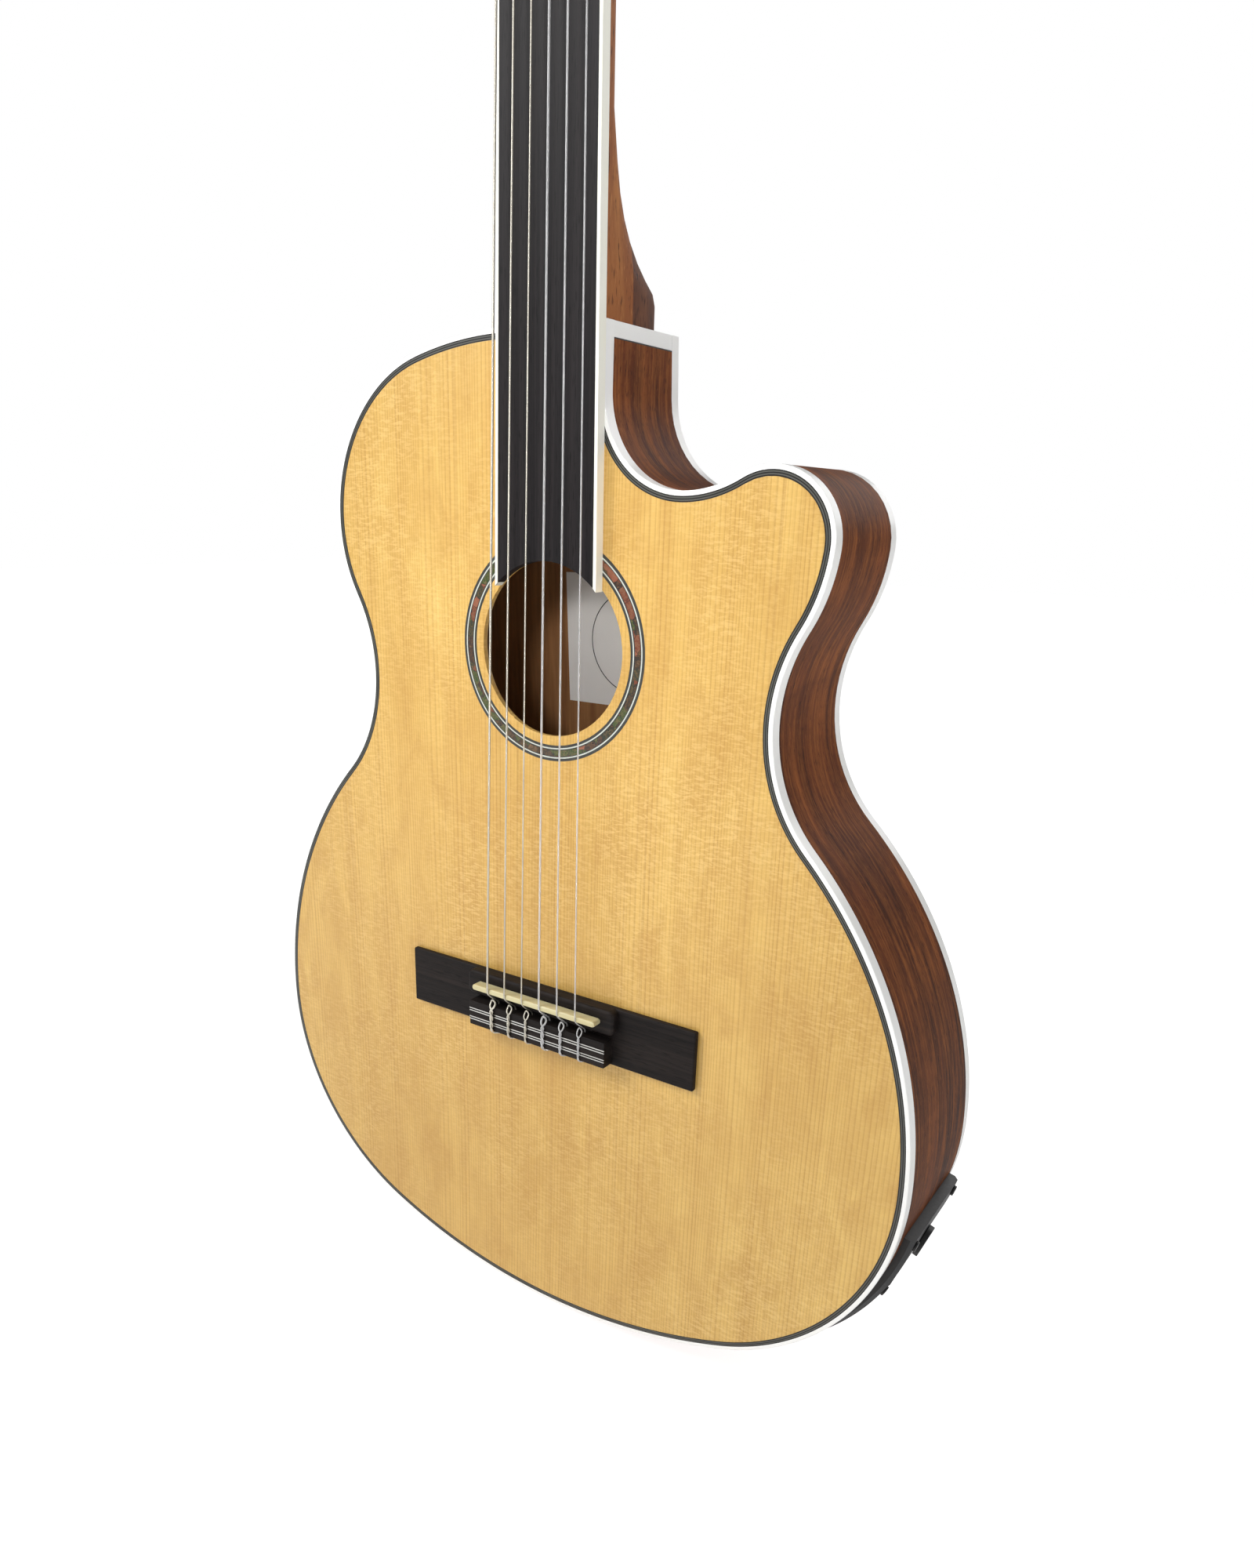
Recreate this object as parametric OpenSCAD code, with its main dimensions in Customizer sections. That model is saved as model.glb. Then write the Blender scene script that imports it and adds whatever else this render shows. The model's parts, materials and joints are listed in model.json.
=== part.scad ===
// Thin-body cutaway nylon-string guitar with a fretless fingerboard and a pickup.
// Upright: +Z runs up the neck, the soundboard faces -Y, +X is the treble side.
// The origin is the strap button's centre line at the tail end of the body.
// Bodies are drawn with the soundboard's face at y = 0, then moved by placed().

/* [Body] */
// Length of the body from tail to neck joint
body_length = 485; // [470:1:500]
// Half the width of the lower bout
lower_half = 191; // [186:1:194]
// Half the width of the waist
waist_half = 111.5; // [109:0.5:114]
// Half the width of the upper bout
upper_half = 131; // [128:1:134]
// Height of the widest place of the lower bout
lower_z = 141; // [138:1:144]
// Height of the narrowest place of the waist
waist_z = 335; // [332:1:338]
// Depth of the body at the tail
tail_depth = 95; // [90:1:100]
// Depth of the body at the neck
neck_depth = 57; // [56:1:70]
// Radius of the soundhole
hole_r = 38.5; // [37:0.5:40]
// Height of the soundhole's centre
hole_z = 355; // [350:1:358]
// Thickness of the soundboard
top_t = 2.2; // [2:0.1:3]
// Thickness of the sides and width of the binding
rim_t = 2; // [1.8:0.1:2.4]
// Thickness of the back
back_t = 2.5; // [2:0.1:3]
// Height of the binding along the side
binding_h = 6; // [5:0.5:7]
// Width of the purfling
purfling_w = 2.4; // [2:0.1:3]

/* [Neck] */
// Height of the fingerboard over the soundboard
board_t = 5; // [4.5:0.25:6]
// Half the width of the fingerboard at the nut
nut_half = 21.5; // [21:0.5:24]
// Half the width of the fingerboard at the body
board_half = 26; // [25.5:0.5:28]
// Height of the front of the nut
nut_z = 835; // [832:1:838]
// Thickness of the neck at the nut
neck_t = 15.5; // [15:0.5:17]
// Thickness of the neck where it meets the heel's sweep
sweep_t = 16.5; // [16:0.5:18]
// Depth of the pale neck blank over the heel block
blank_t = 22; // [21.5:0.5:23]
// Tilt of the headstock
head_tilt = 14; // [10:1:16]

/* [Bridge and strings] */
// Height of the saddle's centre line above the tail
saddle_z = 185; // [183:1:187]
// Height of the saddle's crown over the soundboard
saddle_h = 13.5; // [13:0.25:14]
// Half the length of the bridge
bridge_half = 87; // [84:0.5:92]
// Distance between strings at the saddle
saddle_pitch = 10.8; // [10.6:0.1:11.2]
// Distance between strings at the nut
nut_pitch = 6.8; // [6.6:0.1:7.6]

/* [Tuners] */
// Height of the first roller along the headstock
roller_z = 50; // [48:1:52]
// Distance between rollers
roller_pitch = 35; // [34:0.5:36]
// Teeth on each gear
teeth = 15; // [15:1:15]
// Radius of the tips of the gear's teeth
gear_tip_r = 6.24; // [6.2:0.02:6.28]

/* [Electronics] */
// How far the output plate stands out of the side
plate_t = 5; // [4:0.5:6]
// Radius of the hole for a 6.35 mm jack plug
jack_r = 3.3; // [3.25:0.05:3.4]

/* [Hidden] */
TUNERS = ["e_low", "a", "d", "g", "b", "e_high"];
$fn = 48;
segment = 5;
joint_gap = 0.3;
running = 0.06;
button_y = tail_depth / 2;
back_slope = (tail_depth - neck_depth) / body_length;
back_angle = atan(back_slope);
far = 700;

// Radii that are chosen, and the others and centres that follow because the arcs are tangent
lower_r = 129;
flank_r = 204;
upper_r = 73;
horn_r = 28;
horn_angle = -5;
basin = [64, 422];
side_x = board_half;
flank_c = [lower_half - flank_r, lower_z];
lower_c = [lower_half - lower_r, lower_z];
tail_r = (pow(lower_c.x, 2) + pow(lower_z, 2) - pow(lower_r, 2)) / (2 * (lower_z - lower_r));
tail_a = atan2(lower_c.x, tail_r - lower_z);
waist_r = (pow(waist_half - flank_c.x, 2) + pow(waist_z - lower_z, 2) - pow(flank_r, 2))
    / (2 * (lower_half - waist_half));
waist_c = [waist_half + waist_r, waist_z];
flank_a = atan2(waist_z - lower_z, waist_c.x - flank_c.x);
bout_gain = upper_half - waist_half;
upper_c = [upper_half - upper_r,
    waist_z + sqrt(2 * bout_gain * (upper_r + waist_r) - pow(bout_gain, 2))];
upper_a = atan2(upper_c.y - waist_z, waist_c.x - upper_c.x);
horn_c = upper_c + (upper_r - horn_r) * [cos(horn_angle), sin(horn_angle)];
horn_rise = basin.y - horn_c.y;
basin_r = (pow(horn_c.x - basin.x, 2) + pow(horn_rise, 2) - pow(horn_r, 2)) / (2 * (horn_r - horn_rise));
horn_a = atan2(horn_rise + basin_r, basin.x - horn_c.x);
corner_r = basin.x - side_x;
shoulder_drop = body_length - upper_c.y;
shoulder_r = (pow(upper_c.x - side_x, 2) + pow(shoulder_drop, 2) - pow(upper_r, 2))
    / (2 * (shoulder_drop - upper_r));
shoulder_a = atan2(upper_c.x - side_x, shoulder_r - shoulder_drop);

function flip(p) = [-p.x, p.y];
function arc(c, r, a0, a1) = let (n = max(2, ceil(abs(a1 - a0) * PI / 180 * r / segment)))
    [for (i = [0 : n - 1]) let (a = a0 + (a1 - a0) * i / n) c + r * [cos(a), sin(a)]];

// The rim's outline, d inside the outer edge, from the tail up the treble side and back
function outline(d) = concat(
    arc([0, tail_r], tail_r - d, -90 - tail_a, -90 + tail_a),
    arc(lower_c, lower_r - d, -90 + tail_a, 0),
    arc(flank_c, flank_r - d, 0, flank_a),
    arc(waist_c, waist_r + d, 180 + flank_a, 180 - upper_a),
    arc(upper_c, upper_r - d, -upper_a, horn_angle),
    arc(horn_c, horn_r - d, horn_angle, horn_a),
    arc([basin.x, basin.y + basin_r], basin_r + d, horn_a - 180, -90),
    arc([basin.x, basin.y + corner_r], corner_r + d, -90, -180),
    [[side_x - d, basin.y + corner_r], [side_x - d, body_length - d]],
    arc([-side_x, body_length - shoulder_r], shoulder_r - d, 90, 90 + shoulder_a),
    arc(flip(upper_c), upper_r - d, 90 + shoulder_a, 180 + upper_a),
    arc(flip(waist_c), waist_r + d, upper_a, -flank_a),
    arc(flip(flank_c), flank_r - d, 180 - flank_a, 180),
    arc(flip(lower_c), lower_r - d, 180, 270 - tail_a));

module placed() translate([0, -button_y, 0]) children();
// An upright outline given in x and z, made solid from y0 to y1
module upright(y0, y1) translate([0, y1, 0]) rotate([90, 0, 0]) linear_extrude(y1 - y0) children();
module plan(d, y0, y1) upright(y0, y1) polygon(outline(d));
module rim(outer, inner, y0, y1) upright(y0, y1) difference() {
    polygon(outline(outer));
    polygon(outline(inner));
}
// Everything between d0 and d1 in front of the sloping back's outer face
module back_slab(d0, d1) translate([0, tail_depth, 0]) rotate([back_angle, 0, 0])
    translate([-far / 2, -d1, -far / 4]) cube([far, d1 - d0, far * 1.2]);
module bore_y(r, y0, y1) translate([0, y0, 0]) rotate([-90, 0, 0]) cylinder(r = r, h = y1 - y0);
module bore_x(r, x0, x1) translate([x0, 0, 0]) rotate([0, 90, 0]) cylinder(r = r, h = x1 - x0);
module ring_y(r1, r0, y0, y1) difference() {
    bore_y(r1, y0, y1);
    bore_y(r0, y0 - 1, y1 + 1);
}
// Local frame on a bout: x points out of the side, y into the body's depth, z along the rim
module at_rim(c, r, a) translate([c.x, 0, c.y]) rotate([0, -a, 0]) translate([r, 0, 0]) children();
// A plate bent to a bout's radius, with bevelled long edges
module rim_plate(c, r, t, y0, y1, a0, a1, bevel) translate([c.x, 0, c.y]) rotate([90, 0, 0])
    rotate_extrude(angle = a1 - a0, start = a0, $fn = 96)
        polygon([[r, -y1], [r + t - bevel, -y1], [r + t, bevel - y1],
            [r + t, -y0 - bevel], [r + t - bevel, -y0], [r, -y0]]);

// ---- Body shell ----
mosaic = [hole_r + 6.5, hole_r + 9.3];
lines_r = [hole_r + 4.3, hole_r + 11.5];
rosette_d = 1.2;
edge_d = rim_t + purfling_w;
spruce = [0.86, 0.68, 0.38];
mahogany = [0.36, 0.19, 0.12];
cream = [0.96, 0.95, 0.90];
ebony = [0.10, 0.09, 0.09];

module soundboard() color(spruce) placed() difference() {
    plan(edge_d, 0, top_t);
    translate([0, 0, hole_z]) bore_y(hole_r, -1, top_t + 1);
    translate([0, 0, hole_z]) ring_y(lines_r[1], lines_r[0], -1, rosette_d);
}
module rosette_mosaic() color("darkorange") placed()
    translate([0, 0, hole_z]) ring_y(mosaic[1], mosaic[0], 0, rosette_d);
module rosette_lines() color("dimgray") placed() translate([0, 0, hole_z]) {
    ring_y(mosaic[0], lines_r[0], 0, rosette_d);
    ring_y(lines_r[1], mosaic[1], 0, rosette_d);
}
module top_binding() color(cream) placed() rim(0, rim_t, 0, binding_h);
module top_purfling() color("black") placed() rim(rim_t, edge_d, 0, top_t);
module back() color(mahogany) placed() intersection() {
    plan(rim_t, neck_depth - 20, tail_depth + 20);
    back_slab(0, back_t);
}
module back_binding() color(cream) placed() intersection() {
    rim(0, rim_t, neck_depth - 20, tail_depth + 20);
    back_slab(0, binding_h);
}
// The band of the side between the two bindings
module side_band() intersection() {
    rim(0, rim_t, binding_h, tail_depth + 20);
    back_slab(binding_h, far);
}
corner_w = 6;
module corner_box() translate([side_x - rim_t - 1, 0, body_length - corner_w])
    cube([rim_t + 10, far, corner_w + 10]);
module treble_side() color(mahogany) placed() difference() {
    intersection() {
        side_band();
        translate([0, 0, -far / 4]) cube([far, far, far * 1.2]);
    }
    corner_box();
    at_rim(lower_c, lower_r, drawer_a) drawer_cut(box_wall);
    at_rim(lower_c, lower_r, jack_a) translate([0, jack_y, 0]) bore_x(jack_body_r + 1, -10, 10);
    strap_screw_hole();
}
module strap_screw_hole() translate([0, button_y, -1]) cylinder(r = screw_r + running, h = button_screw_l);
module bass_side() color(mahogany) placed() difference() {
    intersection() {
        side_band();
        translate([-far, 0, -far / 4]) cube([far, far, far * 1.2]);
    }
    at_rim(flip(upper_c), upper_r, preamp_a) translate([-20, preamp_y[0], -preamp_half])
        cube([40, preamp_y[1] - preamp_y[0], 2 * preamp_half]);
    strap_screw_hole();
}
module cutaway_binding() color(cream) placed() intersection() {
    side_band();
    corner_box();
}

// ---- Inside the body ----
lining_w = 6;
lining_h = 11;
inside_d = rim_t + lining_w;
module linings() color("burlywood") placed() difference() {
    union() {
        rim(rim_t, inside_d, top_t, top_t + lining_h);
        intersection() {
            rim(rim_t, inside_d, neck_depth - 30, tail_depth + 20);
            back_slab(back_t, back_t + lining_h);
        }
    }
    block_space(neck_block_x, neck_block_z - 1, body_length);
    block_space([-tail_block_half, tail_block_half], 0, tail_block_t + 1);
}
module block_space(x, z0, z1) translate([x[0], 0, z0]) cube([x[1] - x[0], far, z1 - z0]);
neck_block_x = [-36, side_x - rim_t];
neck_block_z = 442;
tail_block_half = 34;
tail_block_t = 18;
module neck_block() color("tan") placed() intersection() {
    plan(rim_t, top_t, tail_depth);
    back_slab(back_t, far);
    block_space(neck_block_x, neck_block_z, body_length);
}
module tail_block() color("tan") placed() difference() {
    intersection() {
        plan(rim_t, top_t, tail_depth);
        back_slab(back_t, far);
        block_space([-tail_block_half, tail_block_half], 0, tail_block_t);
    }
    strap_screw_hole();
}
bar_w = 7;
bar_h = 10.5;
module soundboard_bars() color("wheat") placed() intersection() {
    plan(inside_d + 0.3, top_t, 30);
    for (z = [hole_z - 48, hole_z + 47])
        translate([-far / 2, top_t, z - bar_w / 2]) cube([far, bar_h, bar_w]);
}
fan_top = hole_z - 52;
fan_bottom = 48;
module fan_braces() color("wheat") placed() for (i = [-3 : 3])
    translate([i * 17, top_t, fan_top]) rotate([0, -abs(i) * 0.001 + i * 4.5, 0])
        translate([-2.5, 0, fan_bottom - fan_top + abs(i) * 11])
            cube([5, 4.5, fan_top - fan_bottom - abs(i) * 11 - 3]);
module soundhole_patch() color("wheat") placed()
    translate([0, 0, hole_z]) ring_y(hole_r + 4.2, hole_r + 0.8, top_t, top_t + 1.6);
brace_h = 12;
back_brace_z = [95, 190, 285];
back_brace_w = 8;
module back_braces() color("wheat") placed() intersection() {
    plan(inside_d + 0.3, 20, tail_depth);
    back_slab(back_t, back_t + brace_h);
    for (z = back_brace_z) translate([-far / 2, 0, z]) cube([far, far, back_brace_w]);
}
module back_strip() color("wheat") placed() intersection() {
    back_slab(back_t, back_t + 2);
    for (i = [0 : 2]) let (z0 = i == 0 ? 30 : back_brace_z[i - 1] + back_brace_w + joint_gap)
        translate([-9, 0, z0]) cube([18, far, back_brace_z[i] - joint_gap - z0]);
}
module label() color("lightgray") placed() intersection() {
    back_slab(back_t, back_t + 0.4);
    translate([-36, 0, 321]) cube([72, far, 64]);
}

// ---- Bridge ----
bridge_z = [161, 191.5];
wing_h = 3.2;
wing_edge = 1.2;
tie_h = 10.5;
tie_z = [162, 174.5];
tie_half = 42;
slot_w = 3;
saddle_half = 37.7;
slot_floor = 3;
hole_h = 4.6;
string_r = [0.55, 0.45, 0.38, 0.5, 0.42, 0.36];
function saddle_x(i) = (i - 2.5) * saddle_pitch;
function nut_x(i) = (i - 2.5) * nut_pitch;
// A side profile given in z and height over the soundboard, made solid between two x
module bridge_profile(x0, x1) translate([x0, 0, 0]) multmatrix([[0, 0, 1, 0], [0, -1, 0, 0], [1, 0, 0, 0]])
    linear_extrude(x1 - x0) children();
module bridge() color(ebony) placed() difference() {
    union() {
        bridge_profile(-bridge_half, bridge_half)
            polygon([[bridge_z[0], 0], [bridge_z[1], 0], [bridge_z[1], wing_h - wing_edge],
                [bridge_z[1] - wing_edge, wing_h], [bridge_z[0] + wing_edge, wing_h],
                [bridge_z[0], wing_h - wing_edge]]);
        bridge_profile(-tie_half, tie_half)
            polygon([[bridge_z[0] + 1, 0], [tie_z[0], tie_h - 1], [tie_z[0] + 1, tie_h],
                [tie_z[1] - 1, tie_h], [tie_z[1] + 1, tie_h - 1.2], [tie_z[1] + 2.5, 3.2], [178, 3.2],
                [181, 8], [188.5, 8], [190.5, 6.5], [bridge_z[1], 3], [bridge_z[1], 0]]);
    }
    translate([-saddle_half - 0.05, -20, saddle_z - slot_w / 2 - 0.02])
        cube([2 * saddle_half + 0.1, 20 - slot_floor, slot_w + 0.04]);
    for (i = [0 : 5]) translate([saddle_x(i), -hole_h, 150]) cylinder(r = 1, h = 28, $fn = 24);
    for (z = inlay_z) translate([-tie_half, -tie_h - 1, z]) cube([2 * tie_half, 1.5, inlay_w]);
}
inlay_z = [165, 166.3, 169.8, 171.1];
inlay_w = 0.5;
inlay_proud = 0.05;
module tie_block_lines() color("silver") placed()
    for (z = inlay_z) translate([-tie_half, -tie_h - inlay_proud, z])
        cube([2 * tie_half, 0.5 + inlay_proud, inlay_w]);
pickup_t = 1;
module saddle_pickup() color("goldenrod") placed()
    translate([-saddle_half + 2, -slot_floor - pickup_t, saddle_z - 1.2])
        cube([2 * saddle_half - 4, pickup_t, 2.4]);
module saddle() color(cream) placed() bridge_profile(-saddle_half, saddle_half)
    polygon([[saddle_z - slot_w / 2, slot_floor + pickup_t], [saddle_z + slot_w / 2, slot_floor + pickup_t],
        for (a = [0 : 15 : 180]) [saddle_z + slot_w / 2 * cos(a), saddle_h - 1 + sin(a)]]);

// ---- Strap button ----
screw_r = 1.8;
button_screw_l = 28;
button_waist_r = 4;
module strap_button() color("silver") placed() translate([0, button_y, 0]) rotate([180, 0, 0]) {
    rotate_extrude() polygon([[0, 0], [6, 0], [6, 1.5], [button_waist_r, 3], [button_waist_r, 9],
        [6.8, 10.5], [6.8, 12.5], [5.5, 13.5], [0, 13.5]]);
    translate([0, 0, -button_screw_l + 4]) cylinder(r = screw_r, h = button_screw_l - 4);
}

// ---- Neck ----
heel_z = 500;
sweep_z = 556;
function half_at(z) = board_half + (nut_half - board_half) * (z - body_length) / (nut_z - body_length);
function thick_at(z) = neck_t + (sweep_t - neck_t) * (nut_z - z) / (nut_z - sweep_z);
// Depth of the heel and neck behind the fingerboard's glue line
function depth_at(z) = z <= heel_z - 4 ? neck_depth - 2.5
    : z >= sweep_z ? thick_at(z)
    : thick_at(sweep_z) + (neck_depth - 4.5 - thick_at(sweep_z)) * pow((sweep_z - z) / (sweep_z - heel_z), 3);
function heelness(z) = max(0, min(1, (sweep_z - z) / (sweep_z - heel_z)));
ring_n = 18;
function section(w, t, n, narrow) = [for (k = [0 : ring_n]) let (a = 180 * k / ring_n,
    y = t * pow(sin(a), 2 / n))
    [w * (cos(a) < 0 ? -1 : 1) * pow(abs(cos(a)), 2 / n) * (1 - narrow * pow(y / t, 1.5)), y]];
function neck_ring(z) = [for (p = section(half_at(z), depth_at(z), 2 + 3.3 * heelness(z), 0.22 * heelness(z)))
    [p.x, p.y, z]];
function head_point(x, y, z) = [x, y * cos(head_tilt) + z * sin(head_tilt),
    head_z - y * sin(head_tilt) + z * cos(head_tilt)];
function head_ring(w, t, n, z) = [for (p = section(w, t, n, 0)) head_point(p.x, p.y, z)];
head_z = nut_z + 5;
head_t = 18;
blend_z = 14;
blend_half = 26;
module neck_blank() {
    rings = concat([for (z = [body_length, heel_z - 4, heel_z, 504, 509, 515, 522, 530, 540,
            sweep_z, 660, 750, 826]) neck_ring(z)],
        [head_ring(nut_half, neck_t - 0.7, 2.5, 0), head_ring(23.6, 16.8, 4, blend_z / 2),
            head_ring(blend_half, head_t, 16, blend_z)]);
    m = ring_n + 1;
    last = len(rings) - 1;
    polyhedron([for (r = rings) each r], concat(
        [for (i = [0 : last - 1], k = [0 : m - 1]) each
            [[i * m + k, i * m + (k + 1) % m, (i + 1) * m + k],
             [i * m + (k + 1) % m, (i + 1) * m + (k + 1) % m, (i + 1) * m + k]]],
        [[for (k = [m - 1 : -1 : 0]) k]], [[for (k = [0 : m - 1]) last * m + k]]));
}
cap_y = neck_depth - 5;
// The heel's stretch of the neck between two depths
module heel_layer(y0, y1) translate([-60, y0, body_length - 20])
    cube([120, y1 - y0, sweep_z + 40 - body_length]);
module neck_shaft() color("sienna") placed() difference() {
    neck_blank();
    heel_layer(blank_t, blank_t + 100);
}
module heel() color("saddlebrown") placed() intersection() {
    neck_blank();
    heel_layer(blank_t, cap_y);
}
cap_half = 13;
cap_l = 11;
module heel_cap() color(ebony) placed() upright(cap_y, cap_y + 2.5)
    translate([0, body_length]) polygon([[-cap_half, 0], [cap_half, 0], [cap_half, cap_l - 3],
        [cap_half - 3, cap_l], [3 - cap_half, cap_l], [-cap_half, cap_l - 3]]);
cut_r = hole_r - 0.5;
board_end = hole_z + sqrt(pow(cut_r, 2) - pow(half_at(hole_z + 25), 2));
binding_w = 1.5;
module board_plan(inset) difference() {
    polygon([[-half_at(board_end) + inset, board_end], [half_at(board_end) - inset, board_end],
        [nut_half - inset, nut_z], [-nut_half + inset, nut_z]]);
    translate([0, hole_z]) circle(r = cut_r, $fn = 96);
}
module fingerboard() color(ebony) placed() upright(-board_t, 0) board_plan(binding_w);
module fingerboard_binding() color(cream) placed() difference() {
    upright(-board_t, 0) difference() {
        board_plan(0);
        polygon([[-half_at(board_end) + binding_w, board_end - 30], [half_at(board_end) - binding_w, board_end - 30],
            [half_at(board_end) - binding_w, board_end], [nut_half - binding_w, nut_z + 1],
            [-nut_half + binding_w, nut_z + 1], [-half_at(board_end) + binding_w, board_end]]);
    }
    dots(dot_d + 0.5);
}
// Semitone places along the string that carry a dot on the bass edge
dot_steps = [3, 5, 7, 9, 12];
dot_d = 0.6;
module dots(extra) for (s = dot_steps) let (z = saddle_z + (nut_z - saddle_z) / pow(2, s / 12))
    translate([-half_at(z), -board_t / 2, z]) rotate([0, 0.7, 0]) bore_x(1, -extra + dot_d, dot_d);
module side_dots() color("black") placed() intersection() {
    dots(dot_d + 0.5);
    upright(-board_t, 0) board_plan(0);
}
nut_h = 6.6;
module nut() color(cream) placed() difference() {
    translate([-nut_half, -nut_h - 0.9, nut_z]) cube([2 * nut_half, nut_h + 0.9, 5]);
    for (i = [0 : 5]) translate([nut_x(i), -nut_h - string_r[i], nut_z - 1]) {
        cylinder(r = string_r[i] + 0.05, h = 7, $fn = 24);
        translate([-string_r[i] - 0.05, -5, 0]) cube([2 * string_r[i] + 0.1, 5, 7]);
    }
}

// ---- Headstock ----
head_half = 35;
head_l = 178;
slot_x = [7, 24];
slot_z = [18, 133];
roller_y = head_t / 2;
journal_r = 3;
shaft_r = 4;
module at_head() placed() translate([0, 0, head_z]) rotate([-head_tilt, 0, 0]) children();
module each_roller() for (i = [0 : 5]) translate([0, roller_y, roller_at(i)]) children();
function roller_at(i) = roller_z + roller_pitch * (i < 3 ? i : 5 - i);
function side_of(i) = i < 3 ? -1 : 1;
module head_outline() difference() {
    polygon([[-blend_half, blend_z], [blend_half, blend_z],
        for (a = [-60 : 20 : 0]) [25 + 10 * cos(a), 29 + 12 * sin(a)],
        [head_half, 152], [32, 166], [22, 170], [12, head_l - 4], [0, head_l],
        [-12, head_l - 4], [-22, 170], [-32, 166], [-head_half, 152],
        for (a = [180 : 20 : 240]) [-25 + 10 * cos(a), 29 + 12 * sin(a)]]);
    for (s = [-1, 1]) translate([s * (slot_x[0] + slot_x[1]) / 2, 0]) {
        half = (slot_x[1] - slot_x[0]) / 2;
        translate([-half, slot_z[0] + half]) square([2 * half, slot_z[1] - slot_z[0] - 2 * half]);
        for (z = [slot_z[0] + half, slot_z[1] - half]) translate([0, z]) circle(r = half);
    }
}
module headstock() color("sienna") at_head() difference() {
    upright(0, head_t) head_outline();
    for (i = [0 : 2], s = [-1, 1]) translate([0, roller_y, roller_at(i)]) rotate([0, 90 - 90 * s, 0]) {
        bore_x(journal_r + running, 1, slot_x[0] + 1);
        bore_x(shaft_r + running, slot_x[1] - 1, head_half + 1);
    }
    for (z = screw_at, s = [-1, 1]) translate([0, screw_y, z]) rotate([0, 90 - 90 * s, 0])
        bore_x(1.2, head_half - 8.5, head_half + 1);
}
module headstock_veneer() color(ebony) at_head() upright(-2, 0) head_outline();

// ---- Tuning machines ----
plate_w = 1.2;
plate_z = [36, 131];
plate_x = head_half + plate_w;
worm_x = head_half + 5;
worm_core = 2.2;
worm_r = 3.3;
worm_drop = gear_tip_r + 2.7;
lug_t = 1.5;
lug_y = [1.5, 15];
pin_r = 1.55;
screw_at = [59, 94, 128.2];
screw_y = 9;
module tuner_plates() color("goldenrod") at_head() for (s = [-1, 1]) rotate([0, 90 - 90 * s, 0])
    mirror([0, 0, (1 - s) / 2]) difference() {
        union() {
            translate([head_half, 1, plate_z[0]]) cube([plate_w, 16, plate_z[1] - plate_z[0]]);
            for (i = [0 : 2], y = lug_y)
                translate([plate_x, y, roller_at(i) - worm_drop - 3.4]) cube([7, lug_t, 6.8]);
        }
        for (i = [0 : 2]) translate([0, roller_y, roller_at(i)]) bore_x(shaft_r + running, 30, 45);
        for (i = [0 : 2]) translate([worm_x, 0, roller_at(i) - worm_drop]) bore_y(pin_r + running, 0, 20);
        for (z = screw_at) translate([0, screw_y, z]) bore_x(1.6, 30, 40);
    }
module tuner_screws() color("goldenrod") at_head() for (z = screw_at, s = [-1, 1])
    translate([0, screw_y, z]) rotate([0, 90 - 90 * s, 0]) {
        bore_x(1.15, head_half - 8, plate_x);
        bore_x(2.4, plate_x, plate_x + 1);
    }
gear_root_r = 5;
tooth_angle = 360 / teeth;
module gear(x0, x1) translate([x0, 0, 0]) multmatrix([[0, 0, 1, 0], [0, 1, 0, 0], [1, 0, 0, 0]])
    linear_extrude(x1 - x0)
        polygon([for (k = [0 : teeth - 1]) let (a = tooth_angle * k) each
            [for (q = [[gear_root_r, -6], [gear_tip_r, -2.6], [gear_tip_r, 2.6], [gear_root_r, 6]])
                q[0] * [cos(a + q[1]), sin(a + q[1])]]]);
// Distance of each string's winding from the middle of the headstock
wind_x = [20, 16, 13];
wind_r = 6.2;
wind_w = 5;
module roller(i) at_head() translate([0, roller_y, roller_at(i)]) {
    k = i < 3 ? i : 5 - i;
    rotate([0, 90 - 90 * side_of(i), 0]) {
        color(cream) bore_x(5, slot_x[0] + 0.4, slot_x[1] - 0.4);
        color(cream) bore_x(wind_r, wind_x[k] - wind_w / 2, wind_x[k] + wind_w / 2);
        color("gold") bore_x(journal_r, 1.5, slot_x[0] + 0.4);
        color("gold") bore_x(shaft_r, slot_x[1] - 0.4, plate_x + 0.8);
        color("gold") bore_x(2.5, plate_x + 0.8, worm_x + 1.8);
    }
    color("gold") translate([side_of(i) * worm_x, 0, 0]) gear(-1, 1);
}
// Single-start right-hand worm as a surface whose radius follows the thread
worm_pitch = 2 * PI * (gear_tip_r - 0.5) / teeth;
worm_y = [4, 14];
worm_sides = 16;
worm_rings = 25;
function thread_r(u) = let (d = abs(u - worm_pitch * round(u / worm_pitch)))
    d < 0.25 ? worm_r : d < 0.6 ? worm_r - (worm_r - worm_core) * (d - 0.25) / 0.35 : worm_core;
module worm() polyhedron(
    [for (j = [0 : worm_rings], k = [0 : worm_sides - 1])
        let (y = worm_y[0] + (worm_y[1] - worm_y[0]) * j / worm_rings, a = 360 * k / worm_sides,
            ends = j < 2 || j > worm_rings - 2,
            r = ends ? worm_core : thread_r(y - roller_y - worm_pitch * a / 360))
        [r * sin(a), y, r * cos(a)]],
    concat([for (j = [0 : worm_rings - 1], k = [0 : worm_sides - 1]) let (n = worm_sides, k1 = (k + 1) % n) each
        [[j * n + k, (j + 1) * n + k, j * n + k1], [j * n + k1, (j + 1) * n + k, (j + 1) * n + k1]]],
        [[for (k = [0 : worm_sides - 1]) k]],
        [[for (k = [worm_sides - 1 : -1 : 0]) worm_rings * worm_sides + k]]));
knob_y = [24, 37];
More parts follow.
